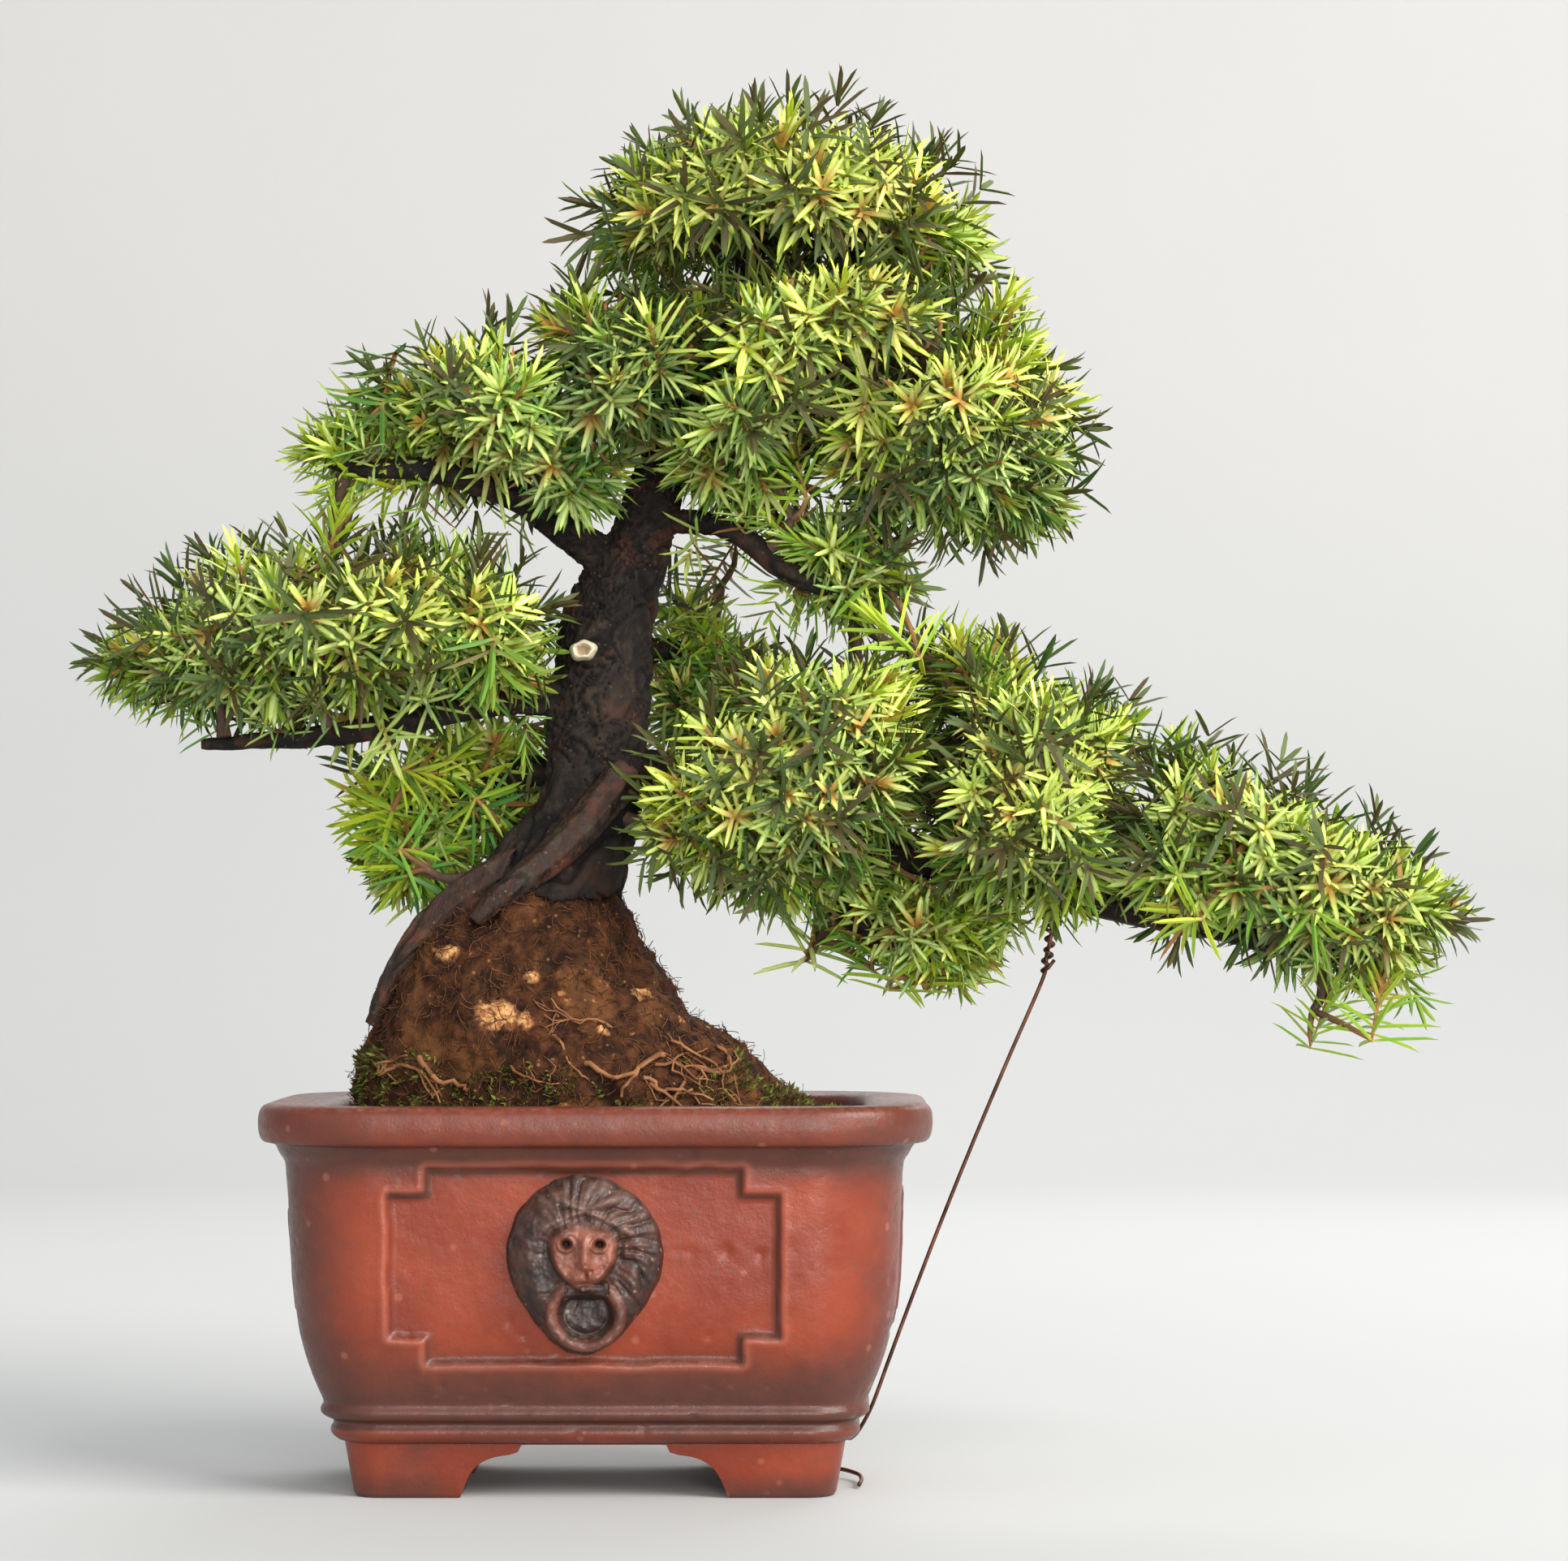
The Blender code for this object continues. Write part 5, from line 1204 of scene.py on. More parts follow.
# turns lines with a radius on each point into tubes
def twigTree():
    tree, given, out = geoTree("twigs", [("Sides", "Int", 5), ("Finish", "Material", None)])
    curve = put(tree, "GeometryNodeMeshToCurve", {"Mesh": given["Geometry"]})
    thick = put(tree, "GeometryNodeSetCurveRadius",
                {"Curve": curve.outputs[0], "Radius": readNamed(tree, "thick")})
    ring = put(tree, "GeometryNodeCurvePrimitiveCircle", {"Resolution": given["Sides"], "Radius": 1.0},
               mode="RADIUS")
    sockets = {"Curve": thick.outputs[0], "Profile Curve": ring.outputs[0], "Fill Caps": True}
    tube = put(tree, "GeometryNodeCurveToMesh", sockets)
    if "Scale" in tube.inputs:
        tree.links.new(readNamed(tree, "thick"), tube.inputs["Scale"])
        tree.links.remove(thick.inputs["Radius"].links[0])
    solid = put(tree, "GeometryNodeRealizeInstances", {0: tube.outputs[0]})
    done = put(tree, "GeometryNodeSetMaterial", {"Geometry": solid.outputs[0], "Material": given["Finish"]})
    tree.links.new(done.outputs[0], out)
    return tree


twigGrow = twigTree()
rootFinish = strandLook("fine roots", (0.13, 0.045, 0.020), (0.36, 0.17, 0.07))
made = grow(spare("rootlets", rootletLines(rootletSet)), twigGrow, {"Sides": 5, "Finish": rootFinish})
made.shade_smooth()
place("mound_rootlets", made, rootFinish, "peat", ["root_mound"])


# the soil: the solid with a finer, uneven top
def soilMesh():
    bm = bmesh.new()
    mesh = cadCopy(["potting_soil"])
    bm.from_mesh(mesh)
    bmesh.ops.triangulate(bm, faces=bm.faces)
    for _ in range(4):
        long = [e for e in bm.edges if e.calc_length() > 1.4 * mm
                and all(v.co.z > soilTop - 0.5 * mm for v in e.verts)]
        if not long:
            break
        bmesh.ops.subdivide_edges(bm, edges=long, cuts=1)
        bmesh.ops.triangulate(bm, faces=[f for f in bm.faces if len(f.verts) > 3])
    out = bpy.data.meshes.new("soil")
    bm.to_mesh(out)
    bm.free()
    co = vertsOf(out) / mm
    top = co[:, 2] > soilTop / mm - 0.4
    co[:, 2] += np.where(top,
                         0.3 * roughNoise(co, 6, 60, 4) + 0.2 * np.abs(roughNoise(co, 1.6, 66, 3)) - 0.1, 0)
    setVerts(out, co * mm)
    out.shade_smooth()
    return out


def soilLook():
    look = Look("dark soil", 0.95, 0.2)
    body = look.over((0.014, 0.010, 0.008), (0.062, 0.036, 0.022), look.patch(0.35, 0.65, 1.4, 5.0, 0.7))
    body = look.over(body, (0.15, 0.09, 0.055), look.speckled(700.0, 0.25))
    look.color(body)
    look.relief(look.noise(0.5, 5.0, 0.7), 0.5)
    return look.material


def pebbleMesh():
    bm = bmesh.new()
    bmesh.ops.create_icosphere(bm, subdivisions=1, radius=1)
    mesh = bpy.data.meshes.new("grain")
    bm.to_mesh(mesh)
    co = vertsOf(mesh)
    setVerts(mesh, co * (1 + 0.28 * softNoise(co, 0.7, 5)[:, None]) * (1, 0.85, 0.7))
    return mesh


def grainTree():
    tree, given, out = geoTree(
        "grains", [("Grain", "Object", None), ("Count", "Int", 1500), ("Smallest", "Float", 0.0002),
                   ("Largest", "Float", 0.0007), ("Up Only", "Float", 0.5), ("Seed", "Int", 0),
                   ("Finish", "Material", None)])
    normal = put(tree, "ShaderNodeSeparateXYZ", {0: put(tree, "GeometryNodeInputNormal").outputs[0]})
    up = put(tree, "FunctionNodeCompare", {0: normal.outputs["Z"], 1: given["Up Only"]}, data_type="FLOAT",
             operation="GREATER_THAN")
    area = put(tree, "GeometryNodeAttributeStatistic",
               {"Geometry": given["Geometry"], "Selection": up.outputs[0],
                "Attribute": put(tree, "GeometryNodeInputMeshFaceArea").outputs[0]}, data_type="FLOAT",
               domain="FACE")
    points = put(tree, "GeometryNodeDistributePointsOnFaces",
                 {"Mesh": given["Geometry"], "Selection": up.outputs[0],
                  "Density": sums(tree, "DIVIDE", given["Count"], area.outputs["Sum"]),
                  "Seed": given["Seed"]})
    seed = given["Seed"]
    noted = put(tree, "GeometryNodeStoreNamedAttribute",
                {"Geometry": points.outputs["Points"], "Name": "strand",
                 "Value": between(tree, 0.0, 1.0, seed, 3)}, data_type="FLOAT", domain="POINT")
    spin = put(tree, "ShaderNodeCombineXYZ",
               {"X": between(tree, -0.5, 0.5, seed, 4), "Z": between(tree, 0.0, 6.28, seed, 5)})
    turned = put(tree, "FunctionNodeRotateRotation",
                 {0: points.outputs["Rotation"],
                  1: put(tree, "FunctionNodeEulerToRotation", {"Euler": spin.outputs[0]}).outputs[0]},
                 rotation_space="LOCAL")
    shape = put(tree, "GeometryNodeObjectInfo", {"Object": given["Grain"]})
    size = sums(tree, "MULTIPLY_ADD", sums(tree, "POWER", between(tree, 0.0, 1.0, seed, 6), 2.0),
                sums(tree, "SUBTRACT", given["Largest"], given["Smallest"]), given["Smallest"])
    many = put(tree, "GeometryNodeInstanceOnPoints",
               {"Points": noted.outputs[0], "Instance": shape.outputs["Geometry"],
                "Rotation": turned.outputs[0], "Scale": size})
    solid = put(tree, "GeometryNodeRealizeInstances", {0: many.outputs[0]})
    done = put(tree, "GeometryNodeSetMaterial", {"Geometry": solid.outputs[0], "Material": given["Finish"]})
    tree.links.new(done.outputs[0], out)
    return tree


soilSkin = soilMesh()
place("soil_skin", soilSkin, soilLook(), "soil", ["potting_soil"])
grains, pebble = grainTree(), spare("pebble", pebbleMesh())
grainFinish = strandLook("soil grains", (0.020, 0.013, 0.010), (0.19, 0.11, 0.065))
made = grow(spare("soil_grains", soilSkin.copy()), grains,
            {"Grain": pebble, "Count": 2600, "Smallest": 0.22 * mm, "Largest": 0.8 * mm, "Seed": 3,
             "Finish": grainFinish})
place("soil_grains", made, grainFinish, "soil", ["potting_soil"])


# one small pointed moss leaf
def mossLeafMesh():
    verts = [(0, -0.16, 0), (0, 0.16, 0), (0.1, -0.2, 0.5), (0.1, 0.2, 0.5), (0.28, 0, 1.15),
             (0.12, 0, 0.2)]
    faces = [(0, 2, 5), (2, 3, 5), (3, 1, 5), (2, 4, 3), (1, 0, 5), (0, 1, 3, 2)]
    return meshFrom("moss_leaf", np.array(verts), [f for f in faces], smooth=False)


mossNames = sorted(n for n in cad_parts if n.startswith("moss_"))


def mossMesh(name):
    mesh = grownTogether(cadCopy([name]), 0.4 * mm, 2)
    co, n = vertsOf(mesh) / mm, normalsOf(mesh)
    setVerts(mesh, (co + n * (0.35 * roughNoise(co, 2.4, 70, 4) - 0.25)[:, None]) * mm)
    return mesh


def mossLook(name, dark, light):
    look = Look(name, 0.85, 0.25)
    body = look.over(dark, light, look.attribute("strand"))
    look.color(look.over(body, (0.075, 0.035, 0.014), look.patch(0.42, 0.58, 2.0, 4.0), 0.8))
    look.relief(look.noise(0.4, 4.0), 0.3)
    return look.material


mossGround = mossLook("moss bed", (0.030, 0.040, 0.010), (0.05, 0.07, 0.015))
mossFinish = mossLook("moss leaves", (0.018, 0.026, 0.007), (0.23, 0.27, 0.040))
mossLeaf = spare("moss_leaf", mossLeafMesh())
for number, name in enumerate(mossNames):
    bed = mossMesh(name)
    place(name + "_bed", bed, mossGround, "moss", [name])
    count = int(sum(f.area for f in bed.polygons) / mm**2 * 5.0)
    made = grow(spare(name, bed.copy()), grains,
                {"Grain": mossLeaf, "Count": count, "Smallest": 0.55 * mm, "Largest": 1.35 * mm,
                 "Up Only": -0.35, "Seed": 20 + number, "Finish": mossFinish})
    place(name + "_leaves", made, mossFinish, "moss", [name])
    print(name, count)
lowMound = faceSubset(moundSkin, lambda p,
                      n: (p[:, 2] < 55.0 + 5.0 * softNoise(p, 7, 81)
                          + np.where(p[:, 0] - potX / mm < -8, 3.5, 0)) & (softNoise(p, 2.0, 82) > -0.22))
count = int(sum(f.area for f in lowMound.polygons) / mm**2 * 3.2)
made = grow(spare("mound_moss", lowMound), grains,
            {"Grain": mossLeaf, "Count": count, "Smallest": 0.5 * mm, "Largest": 1.25 * mm, "Up Only": -0.9,
             "Seed": 40, "Finish": mossFinish})
place("mound_moss", made, mossFinish, "moss", ["root_mound"])
print("mound moss", count)
for helper in (pebble, mossLeaf):
    bpy.data.objects.remove(helper)


def plasticLook():
    look = Look("mesh plastic", 0.5, 0.4)
    look.color(look.over((0.012, 0.012, 0.013), (0.05, 0.04, 0.033), look.noise(2.0, 4.0)))
    look.relief(look.noise(0.5, 3.0), 0.05)
    return look.material


def softened(name, width):
    thing = spare(name, cadCopy([name]))
    edge = thing.modifiers.new("soft edge", "BEVEL")
    edge.width = width * mm
    edge.segments = 2
    edge.limit_method = "ANGLE"
    return baked(thing)


place("drain_net", softened("drain_mesh", 0.12), plasticLook(), "mesh_plastic", ["drain_mesh"])
place("drain_clip", grownTogether(cadCopy(["mesh_clip"]), 0.12 * mm, 2), copper, "copper_wire",
      ["mesh_clip"])
print("ground done")

needleSet = dict(length=8.2, width=0.76, thick=0.34, needles=30, inner=24, stem=9.0, old=1.36, tip=0.28,
                 spacing=5.2, under=4.7, innerSpacing=5.4, deep=6.5, hug=3.0, relief=3.4, seed=4)


# one needle up +Z, its pale face towards -X
def needleMesh(s):
    stations = [(0.0, 0.62, 0.0), (0.34, 1.0, -0.16), (0.8, 0.78, -0.10), (1.0, 0.1, 0.22)]
    verts, across, keel, along = [], [], [], []
    for share, wide, bow in stations:
        w, z, x = s["width"] / 2 * wide, s["length"] * share, bow
        verts += [(x, -w, z), (x, w, z), (x + s["thick"] * wide, 0, z)]
        across += [-1, 1, 0]
        keel += [0, 0, 1]
        along += [share] * 3
    faces = []
    for i in range(0, 9, 3):
        faces += [(i, i + 3, i + 4, i + 1), (i + 1, i + 4, i + 5, i + 2), (i + 2, i + 5, i + 3, i)]
    faces += [(0, 1, 2), (9, 11, 10)]
    return meshFrom("needle", np.array(verts) * mm, faces, {"across": across, "keel": keel, "along": along},
                    smooth=False)


def needleTree():
    tree, given, out = geoTree("needles on shoots",
                               [("Needle", "Object", None), ("Needles", "Int", 30),
                                ("Stem Length", "Float", 0.0095), ("Old Tilt", "Float", 1.5),
                                ("Tip Tilt", "Float", 0.3), ("Missing", "Float", 0.06), ("Seed", "Int", 0),
                                ("Finish", "Material", None)])
    copies = put(tree, "GeometryNodeDuplicateElements",
                 {"Geometry": given["Geometry"], "Amount": given["Needles"]}, domain="POINT")
    number = copies.outputs["Duplicate Index"]
    whorl = sums(tree, "FLOOR", sums(tree, "DIVIDE", number, 3.0))
    leaf = sums(tree, "FLOORED_MODULO", number, 3.0)
    share = sums(tree, "DIVIDE", whorl,
                 sums(tree, "SUBTRACT", sums(tree, "DIVIDE", given["Needles"], 3.0), 1.0))
    axis, size = readNamed(tree, "axis", "FLOAT_VECTOR"), readNamed(tree, "size")
    reach = sums(tree, "MULTIPLY", sums(tree, "MULTIPLY", share, given["Stem Length"]), size)
    offset = put(tree, "ShaderNodeVectorMath", {0: axis, "Scale": reach}, operation="SCALE").outputs[0]
    moved = put(tree, "GeometryNodeSetPosition", {"Geometry": copies.outputs["Geometry"], "Offset": offset})
    seed = given["Seed"]
    tipTilt = sums(tree, "MULTIPLY_ADD", readNamed(tree, "open"), 0.75, given["Tip Tilt"])
    lean = sums(tree, "MULTIPLY", sums(tree, "POWER", share, 1.25),
                sums(tree, "SUBTRACT", tipTilt, given["Old Tilt"]))
    tilt = sums(tree, "ADD", sums(tree, "ADD", lean, given["Old Tilt"]), between(tree, -0.2, 0.2, seed, 1))
    spin = sums(tree, "MULTIPLY_ADD", leaf, 2.0944,
                sums(tree, "MULTIPLY_ADD", whorl, 1.0472, readNamed(tree, "turn")))
    spin = sums(tree, "ADD", spin, between(tree, -0.3, 0.3, seed, 2))
    turned = put(tree, "FunctionNodeAlignRotationToVector", {"Vector": axis}, axis="Z")
    for socket, value in (("Z", spin), ("Y", tilt)):
        euler = put(tree, "ShaderNodeCombineXYZ", {socket: value})
        rotation = put(tree, "FunctionNodeEulerToRotation", {"Euler": euler.outputs[0]})
        turned = put(tree, "FunctionNodeRotateRotation", {0: turned.outputs[0], 1: rotation.outputs[0]},
                     rotation_space="LOCAL")
    young = sums(tree, "SUBTRACT", 1.0, sums(tree, "MULTIPLY", sums(tree, "POWER", share, 2.2), 0.42))
    long = sums(tree, "MULTIPLY", sums(tree, "MULTIPLY", size, young), between(tree, 0.82, 1.1, seed, 3))
    scale = put(tree, "ShaderNodeCombineXYZ",
                {"X": sums(tree, "MULTIPLY", size, young),
                 "Y": sums(tree, "MULTIPLY", size, between(tree, 0.88, 1.12, seed, 4)), "Z": long})
    kept = put(tree, "FunctionNodeCompare", {0: between(tree, 0.0, 1.0, seed, 5), 1: given["Missing"]},
               data_type="FLOAT", operation="GREATER_THAN")
    noted = put(tree, "GeometryNodeStoreNamedAttribute",
                {"Geometry": moved.outputs[0], "Name": "leafTone",
                 "Value": between(tree, 0.0, 1.0, seed, 6)}, data_type="FLOAT", domain="POINT")
    noted = put(tree, "GeometryNodeStoreNamedAttribute",
                {"Geometry": noted.outputs[0], "Name": "young", "Value": share}, data_type="FLOAT",
                domain="POINT")
    shape = put(tree, "GeometryNodeObjectInfo", {"Object": given["Needle"]})
    many = put(tree, "GeometryNodeInstanceOnPoints",
               {"Points": noted.outputs[0], "Selection": kept.outputs[0],
                "Instance": shape.outputs["Geometry"], "Rotation": turned.outputs[0],
                "Scale": scale.outputs[0]})
    solid = put(tree, "GeometryNodeRealizeInstances", {0: many.outputs[0]})
    done = put(tree, "GeometryNodeSetMaterial", {"Geometry": solid.outputs[0], "Material": given["Finish"]})
    tree.links.new(done.outputs[0], out)
    return tree


def needleLook():
    look = Look("needles", 0.5, 0.25)
    t = look.tree
    across, keel, along = look.attribute("across"), look.attribute("keel"), look.attribute("along")
    tone, leafTone = look.attribute("tone"), look.attribute("leafTone")
    young, dark = look.attribute("young"), look.attribute("dark")
    mix = mathNode(t, "MULTIPLY_ADD", leafTone, 0.35, look.times(tone, 0.75), clamp=True)
    ramp = t.nodes.new("ShaderNodeValToRGB")
    ramp.color_ramp.elements[0].color = (0.070, 0.25, 0.050, 1)
    ramp.color_ramp.elements[1].color = (0.86, 0.84, 0.03, 1)
    for at, color in ((0.22, (0.15, 0.38, 0.040, 1)), (0.42, (0.34, 0.58, 0.030, 1)),
                      (0.68, (0.62, 0.76, 0.025, 1))):
        ramp.color_ramp.elements.new(at).color = color
    link(t, mix, ramp.inputs[0])
    leaf = look.over(ramp.outputs[0], (0.66, 0.76, 0.05), mathNode(t, "POWER", young, 3.0), 0.5)
    wide = look.ramp(mathNode(t, "ABSOLUTE", across), 0.42, 0.7, 1.0, 0.0)
    upper = look.ramp(keel, 0.01, 0.1, 1.0, 0.0)
    ends = look.times(look.ramp(along, 0.0, 0.14), look.ramp(along, 0.8, 1.0, 1.0, 0.15))
    band = look.times(look.times(wide, upper), ends)
    split = look.ramp(mathNode(t, "ABSOLUTE", across), 0.0, 0.14, 0.62, 1.0)
    pale = look.times(look.times(band, split), look.ramp(leafTone, 0.0, 1.0, 0.45, 0.95))
    leaf = look.over(leaf, (0.05, 0.15, 0.03), look.ramp(keel, 0.02, 0.3, 0.0, 0.35))
    leaf = look.over(leaf, (0.93, 1.0, 0.50), pale)
    leaf = look.over(leaf, (0.35, 0.17, 0.06),
                     look.times(look.ramp(along, 0.93, 1.0), look.ramp(leafTone, 0.45, 0.6)))
    warm = look.ramp(look.attribute("warm"), 0.55, 0.8)
    leaf = look.over(leaf, (0.62, 0.27, 0.05),
                     look.times(look.times(warm, look.ramp(young, 0.35, 0.9)),
                                look.ramp(along, 0.75, 0.1, 0.12, 0.95)))
    leaf = look.over(leaf, (0.50, 0.36, 0.09), look.ramp(along, 0.18, 0.0), 0.8)
    dead = look.times(look.ramp(leafTone, 0.955, 0.965), look.ramp(young, 0.75, 0.5))
    leaf = look.over(leaf, (0.33, 0.13, 0.04), dead)
    # painted shade on the inner, downward-facing and limb shoots
    leaf = look.over(leaf, (0.014, 0.028, 0.008), dark, 0.88)
    leaf = look.over(leaf, (0.07, 0.03, 0.012),
                     look.times(look.times(dark, 0.8), look.ramp(leafTone, 0.62, 0.72)))
    leaf = look.over(leaf, (0.04, 0.12, 0.04), look.noise(0.7, 3.0), 0.3)
    look.color(leaf)
    look.rough(look.ramp(pale, 0.0, 0.8, 0.42, 0.68))
    look.relief(look.noise(0.25, 2.0), 0.03, 0.5)
    look.shader.inputs["Subsurface Weight"].default_value = 0.0
    return look.material


def twigLook():
    look = Look("twigs", 0.75, 0.3)
    old = look.attribute("old")
    skin = look.over((0.33, 0.13, 0.045), (0.42, 0.24, 0.075), look.noise(1.1, 4.0))
    bark = look.over((0.035, 0.022, 0.016), (0.13, 0.075, 0.05), look.noise(0.8, 4.0))
    look.color(look.over(skin, bark, old))
    look.relief(look.noise(0.5, 4.0), 0.12)
    return look.material


def isInside(tree, spot):
    near, normal, _, _ = tree.find_nearest(Vector(spot))
    return (Vector(spot) - near).dot(normal) < 0


padNames = sorted(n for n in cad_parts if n.startswith("foliage_"))
padMeshes = {n: cadCopy([n]) for n in padNames}
padTrees = {n: treeOf(padMeshes[n]) for n in padNames}
padBoxes = {n: [np.array(v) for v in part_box(n)] for n in padNames}
woodTree = treeOf(cadCopy(branchNames + ["trunk"]))


# whether another pad holds this point
def buried(name, spot):
    for other in padNames:
        if other != name:
            low, high = padBoxes[other]
            if (spot > low).all() and (spot < high).all() and isInside(padTrees[other], spot):
                return True
    return False


# evenly spread spots on a pad, with the surface's normal there
def scattered(name, s, rng):
    mesh = padMeshes[name]
    mesh.calc_loop_triangles()
    co, n = vertsOf(mesh), normalsOf(mesh)
    tris = np.array([t.vertices[:] for t in mesh.loop_triangles])
    a, b, c = (co[tris[:, i]] for i in range(3))
    area = np.linalg.norm(np.cross(b - a, c - a), axis=1) / 2
    count = int(area.sum() / (s["spacing"] * mm) ** 2 * 14)
    pick = rng.choice(len(tris), count, p=area / area.sum())
    u, v = rng.random(count), rng.random(count)
    u, v = np.where(u + v > 1, 1 - u, u), np.where(u + v > 1, 1 - v, v)
    w = np.stack([1 - u - v, u, v], 1)[..., None]
    spots = (co[tris[pick]] * w).sum(1)
    normals = (n[tris[pick]] * w).sum(1)
    normals /= np.linalg.norm(normals, axis=1)[:, None]
    return spots, normals


# keeps spots that are far enough from those kept before
def thinned(spots, gaps, reject):
    kept = []
    for i in range(len(spots)):
        if kept and (((spots[kept] - spots[i]) ** 2).sum(1) < gaps[i] ** 2).any():
            continue
        if not reject(i):
            kept.append(i)
    return kept


def shootsOf(name, s, seed):
    rng = np.random.default_rng(seed)
    low, high = padBoxes[name]
    middle = (low + high) / 2
    spots, normals = scattered(name, s, rng)
    gaps = np.where(normals[:, 2] < -0.35, s["under"], s["spacing"]) * mm
    outer = thinned(spots, gaps, lambda i: buried(name, spots[i] + normals[i] * 2.5 * mm))
    deep = spots - normals * s["deep"] * mm
    inner = thinned(deep, np.full(len(deep), s["innerSpacing"] * mm),
                    lambda i: not isInside(padTrees[name], deep[i])
                    or (padTrees[name].find_nearest(Vector(deep[i]))[3] < 3.6 * mm))
    spread = ((spots[outer][:, None] - spots[outer][None]) ** 2).sum(2)
    outer = [i for i, near in zip(outer, (spread < (9 * mm) ** 2).sum(1)) if near > 4]
    found = []
    # inner shoots get dark 1: painted shade for the inside of the pad
    for group, dark in ((outer, 0), (inner, 1)):
        p, n = (deep if dark else spots)[group], normals[group]
        away = (p - middle) * (1, 1, 0.4)
        away /= np.linalg.norm(away, axis=1)[:, None] + 1e-9
        axis = n * 0.95 + away * 0.25 + np.array([0, 0, 0.22]) + rng.normal(0, 0.16 + 0.25 * dark, p.shape)
        axis /= np.linalg.norm(axis, axis=1)[:, None]
        size = rng.uniform(0.86, 1.12, len(p))
        sunk = (1.8 + s["relief"] * ease(-0.35, 0.45, softNoise(p / mm, 11, 17))
                + rng.uniform(0, 1.8, len(p)))
        tip = p - n * (0 if dark else 1) * sunk[:, None] * mm
        base = tip - axis * s["stem"] * mm * size[:, None]
        if dark:
            base = p - axis * 2 * mm
        # outer shoots facing down get part of that painted shade
        low = ease(-0.1, -0.7, n[:, 2]) * 0.45
        # tone is lower on shoots facing down: painted shade
        patch = 0.5 + 0.42 * softNoise(p / mm, 17, 7) + rng.normal(
            0, 0.16, len(p)) - 0.2 * ease(0.1, -0.6, n[:, 2])
        found.append(dict(base=base, axis=axis, size=size, tone=np.clip(patch, 0, 1),
                          turn=rng.uniform(0, 6.28, len(p)), open=rng.random(len(p)) ** 1.6,
                          warm=rng.random(len(p)), dark=np.full(len(p), float(dark)) + low * (1 - dark),
                          tip=tip))
    return found


limbMesh = cadCopy(branchNames)


# short shoots, darkened with painted shade, that grow straight from the limbs beside a pad
def limbShoots(name, s, rng):
    limbMesh.calc_loop_triangles()
    co = vertsOf(limbMesh)
    tris = np.array([t.vertices[:] for t in limbMesh.loop_triangles])
    a, b, c = (co[tris[:, i]] for i in range(3))
    face = np.cross(b - a, c - a)
    area = np.linalg.norm(face, axis=1)
    pick = rng.choice(len(tris), 900, p=area / area.sum())
    spots = (a[pick] + b[pick] + c[pick]) / 3 + rng.normal(0, 0.6 * mm, (900, 3))
    normals = face[pick] / area[pick][:, None]
    low, high = padBoxes[name]
    near = [((p > low - 2 * mm) & (p < high + 2 * mm)).all()
            and padTrees[name].find_nearest(Vector(p))[3] < s["hug"] * mm for p in spots]
    kept = thinned(spots, np.full(len(spots), 5.5 * mm), lambda i: not near[i] or normals[i][2] > 0.8)
    p, n = spots[kept], normals[kept]
    axis = n + rng.normal(0, 0.35, p.shape) + np.array([0, -0.15, -0.1])
    axis /= np.linalg.norm(axis, axis=1)[:, None] + 1e-9
    size = rng.uniform(0.62, 0.9, len(p))
    return dict(base=p, axis=axis, size=size, tone=rng.uniform(0.1, 0.6, len(p)),
                turn=rng.uniform(0, 6.28, len(p)), open=rng.random(len(p)), warm=rng.random(len(p)) * 0.7,
                dark=np.full(len(p), 0.38), tip=p + axis * (s["stem"] * mm * size)[:, None])


def shootPoints(found):
    mesh = meshFrom("shoots", found["base"], [])
    for key in ("size", "tone", "turn", "open", "dark", "warm"):
        addAttribute(mesh, key, found[key])
    axis = mesh.attributes.new("axis", "FLOAT_VECTOR", "POINT")
    axis.data.foreach_set("vector", found["axis"].astype(np.float32).ravel())
    return mesh


# a line from a to b that hangs or arches a little
def bent(a, b, sag, steps):
    t = np.linspace(0, 1, steps)[:, None]
    return a + (b - a) * t + np.sin(math.pi * t) * np.asarray(sag)


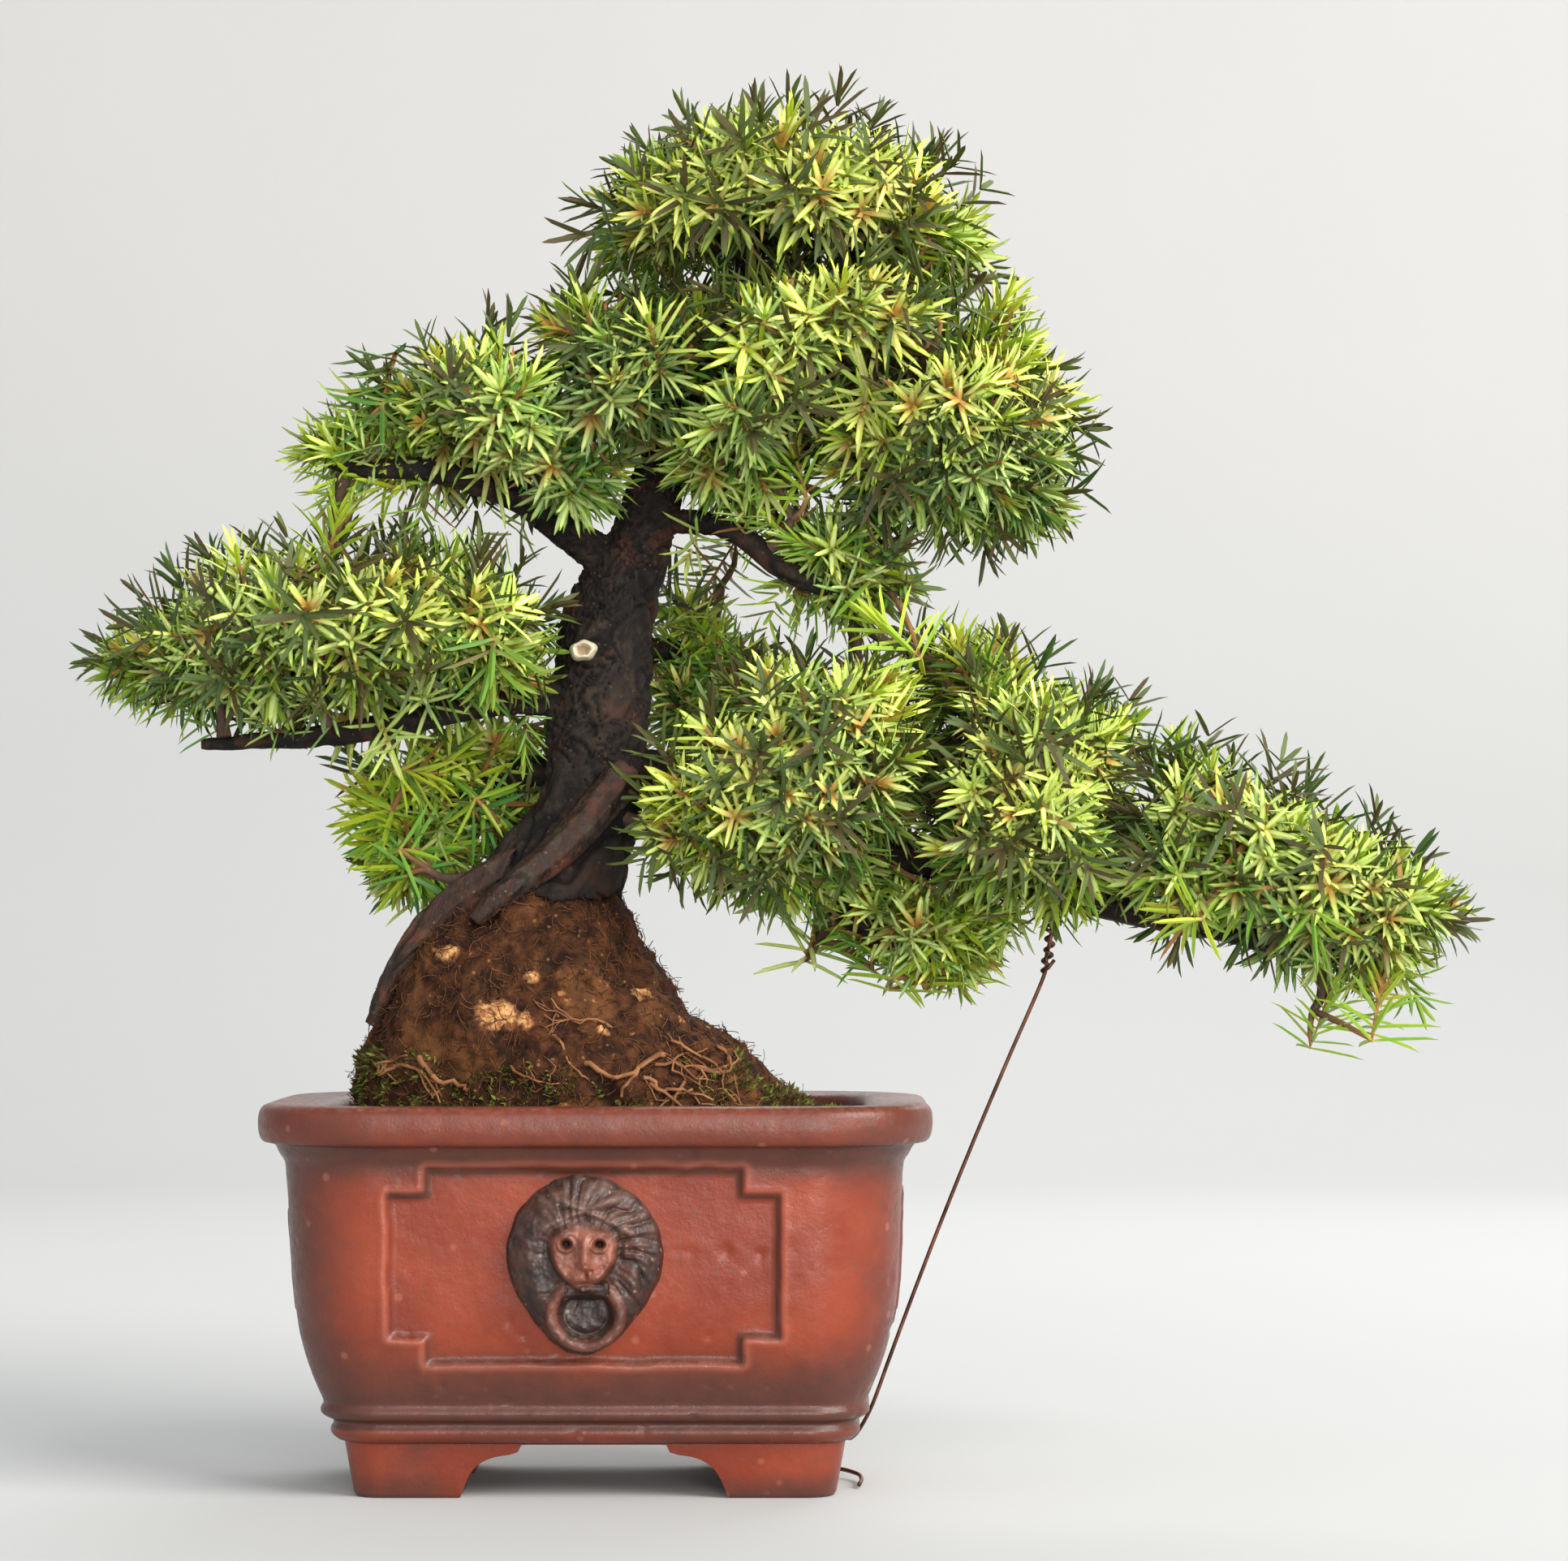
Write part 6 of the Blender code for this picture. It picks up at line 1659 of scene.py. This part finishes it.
# lines from the branches to every shoot: limbs first, then twigs
def twigLines(found, seed):
    rng = np.random.default_rng(seed + 50)
    base = np.vstack([f["base"] for f in found])
    tip = np.vstack([f["tip"] for f in found])
    verts, edges, thick, old = [], [], [], []

    def add(line, radii, age):
        start = len(verts)
        verts.extend(line.tolist())
        edges.extend((start + i, start + i + 1) for i in range(len(line) - 1))
        thick.extend(np.linspace(*radii, len(line)) * mm)
        old.extend(np.linspace(*age, len(line)))

    wood = np.array([woodTree.find_nearest(Vector(b))[0] for b in base])
    hubs = base + (wood - base) * 0.42
    left = list(range(len(hubs)))
    rng.shuffle(left)
    forks = []
    for i in left:
        if not forks or (((hubs[forks] - hubs[i]) ** 2).sum(1) > (11 * mm) ** 2).all():
            forks.append(i)
    for i in forks:
        root, _, _, _ = woodTree.find_nearest(Vector(hubs[i]))
        root = np.array(root)
        reach = np.linalg.norm(hubs[i] - root)
        add(bent(root, hubs[i], (rng.normal(0, 0.6 * mm), rng.normal(0, 0.6 * mm), -0.08 * reach), 7),
            (1.15, 0.6), (1, 1))
    for i in range(len(base)):
        fork = forks[int(((hubs[forks] - base[i]) ** 2).sum(1).argmin())]
        line = bent(hubs[fork], base[i], rng.normal(0, 0.5 * mm, 3), 5)
        last = tip[i] if i < len(found[0]["base"]) else base[i] + (tip[i] - base[i]) * 0.5
        line = np.vstack([line, last])
        add(line, (0.55, 0.3), (1, 0.0))
    mesh = bpy.data.meshes.new("twigs")
    mesh.from_pydata(verts, edges, [])
    addAttribute(mesh, "thick", thick)
    addAttribute(mesh, "old", old)
    return mesh


needleShape = spare("needle_shape", needleMesh(needleSet))
needleGrow = needleTree()
needleFinish, twigFinish = needleLook(), twigLook()
total = 0
for number, name in enumerate(padNames):
    outer, inner = shootsOf(name, needleSet, needleSet["seed"] + number)
    parts = []
    limb = limbShoots(name, needleSet, np.random.default_rng(900 + number))
    for found, needles, missing in ((outer, needleSet["needles"], 0.05), (inner, needleSet["inner"], 0.25),
                                    (limb, 21, 0.2)):
        if not len(found["base"]):
            continue
        parts.append(grow(spare("shoots", shootPoints(found)), needleGrow,
                          {"Needle": needleShape, "Needles": needles, "Stem Length": needleSet["stem"] * mm,
                           "Old Tilt": needleSet["old"], "Tip Tilt": needleSet["tip"], "Missing": missing,
                           "Seed": number, "Finish": needleFinish}))
    bm = bmesh.new()
    for part in parts:
        bm.from_mesh(part)
    mesh = bpy.data.meshes.new(name + "_needles")
    bm.to_mesh(mesh)
    bm.free()
    place(name.replace("foliage_", "needles_"), mesh, needleFinish, "needles", [name])
    twigs = grow(spare("twigs", twigLines([outer, inner], number)), twigGrow,
                 {"Sides": 5, "Finish": twigFinish})
    twigs.shade_smooth()
    place(name.replace("foliage_", "twigs_"), twigs, twigFinish, "bark", [name])
    total += len(mesh.polygons)
    print(name, len(outer["base"]), "shoots", len(inner["base"]), "inner", len(limb["base"]), "limb",
          len(mesh.polygons), "faces", len(twigs.polygons))
bpy.data.objects.remove(needleShape)
print("foliage faces", total)
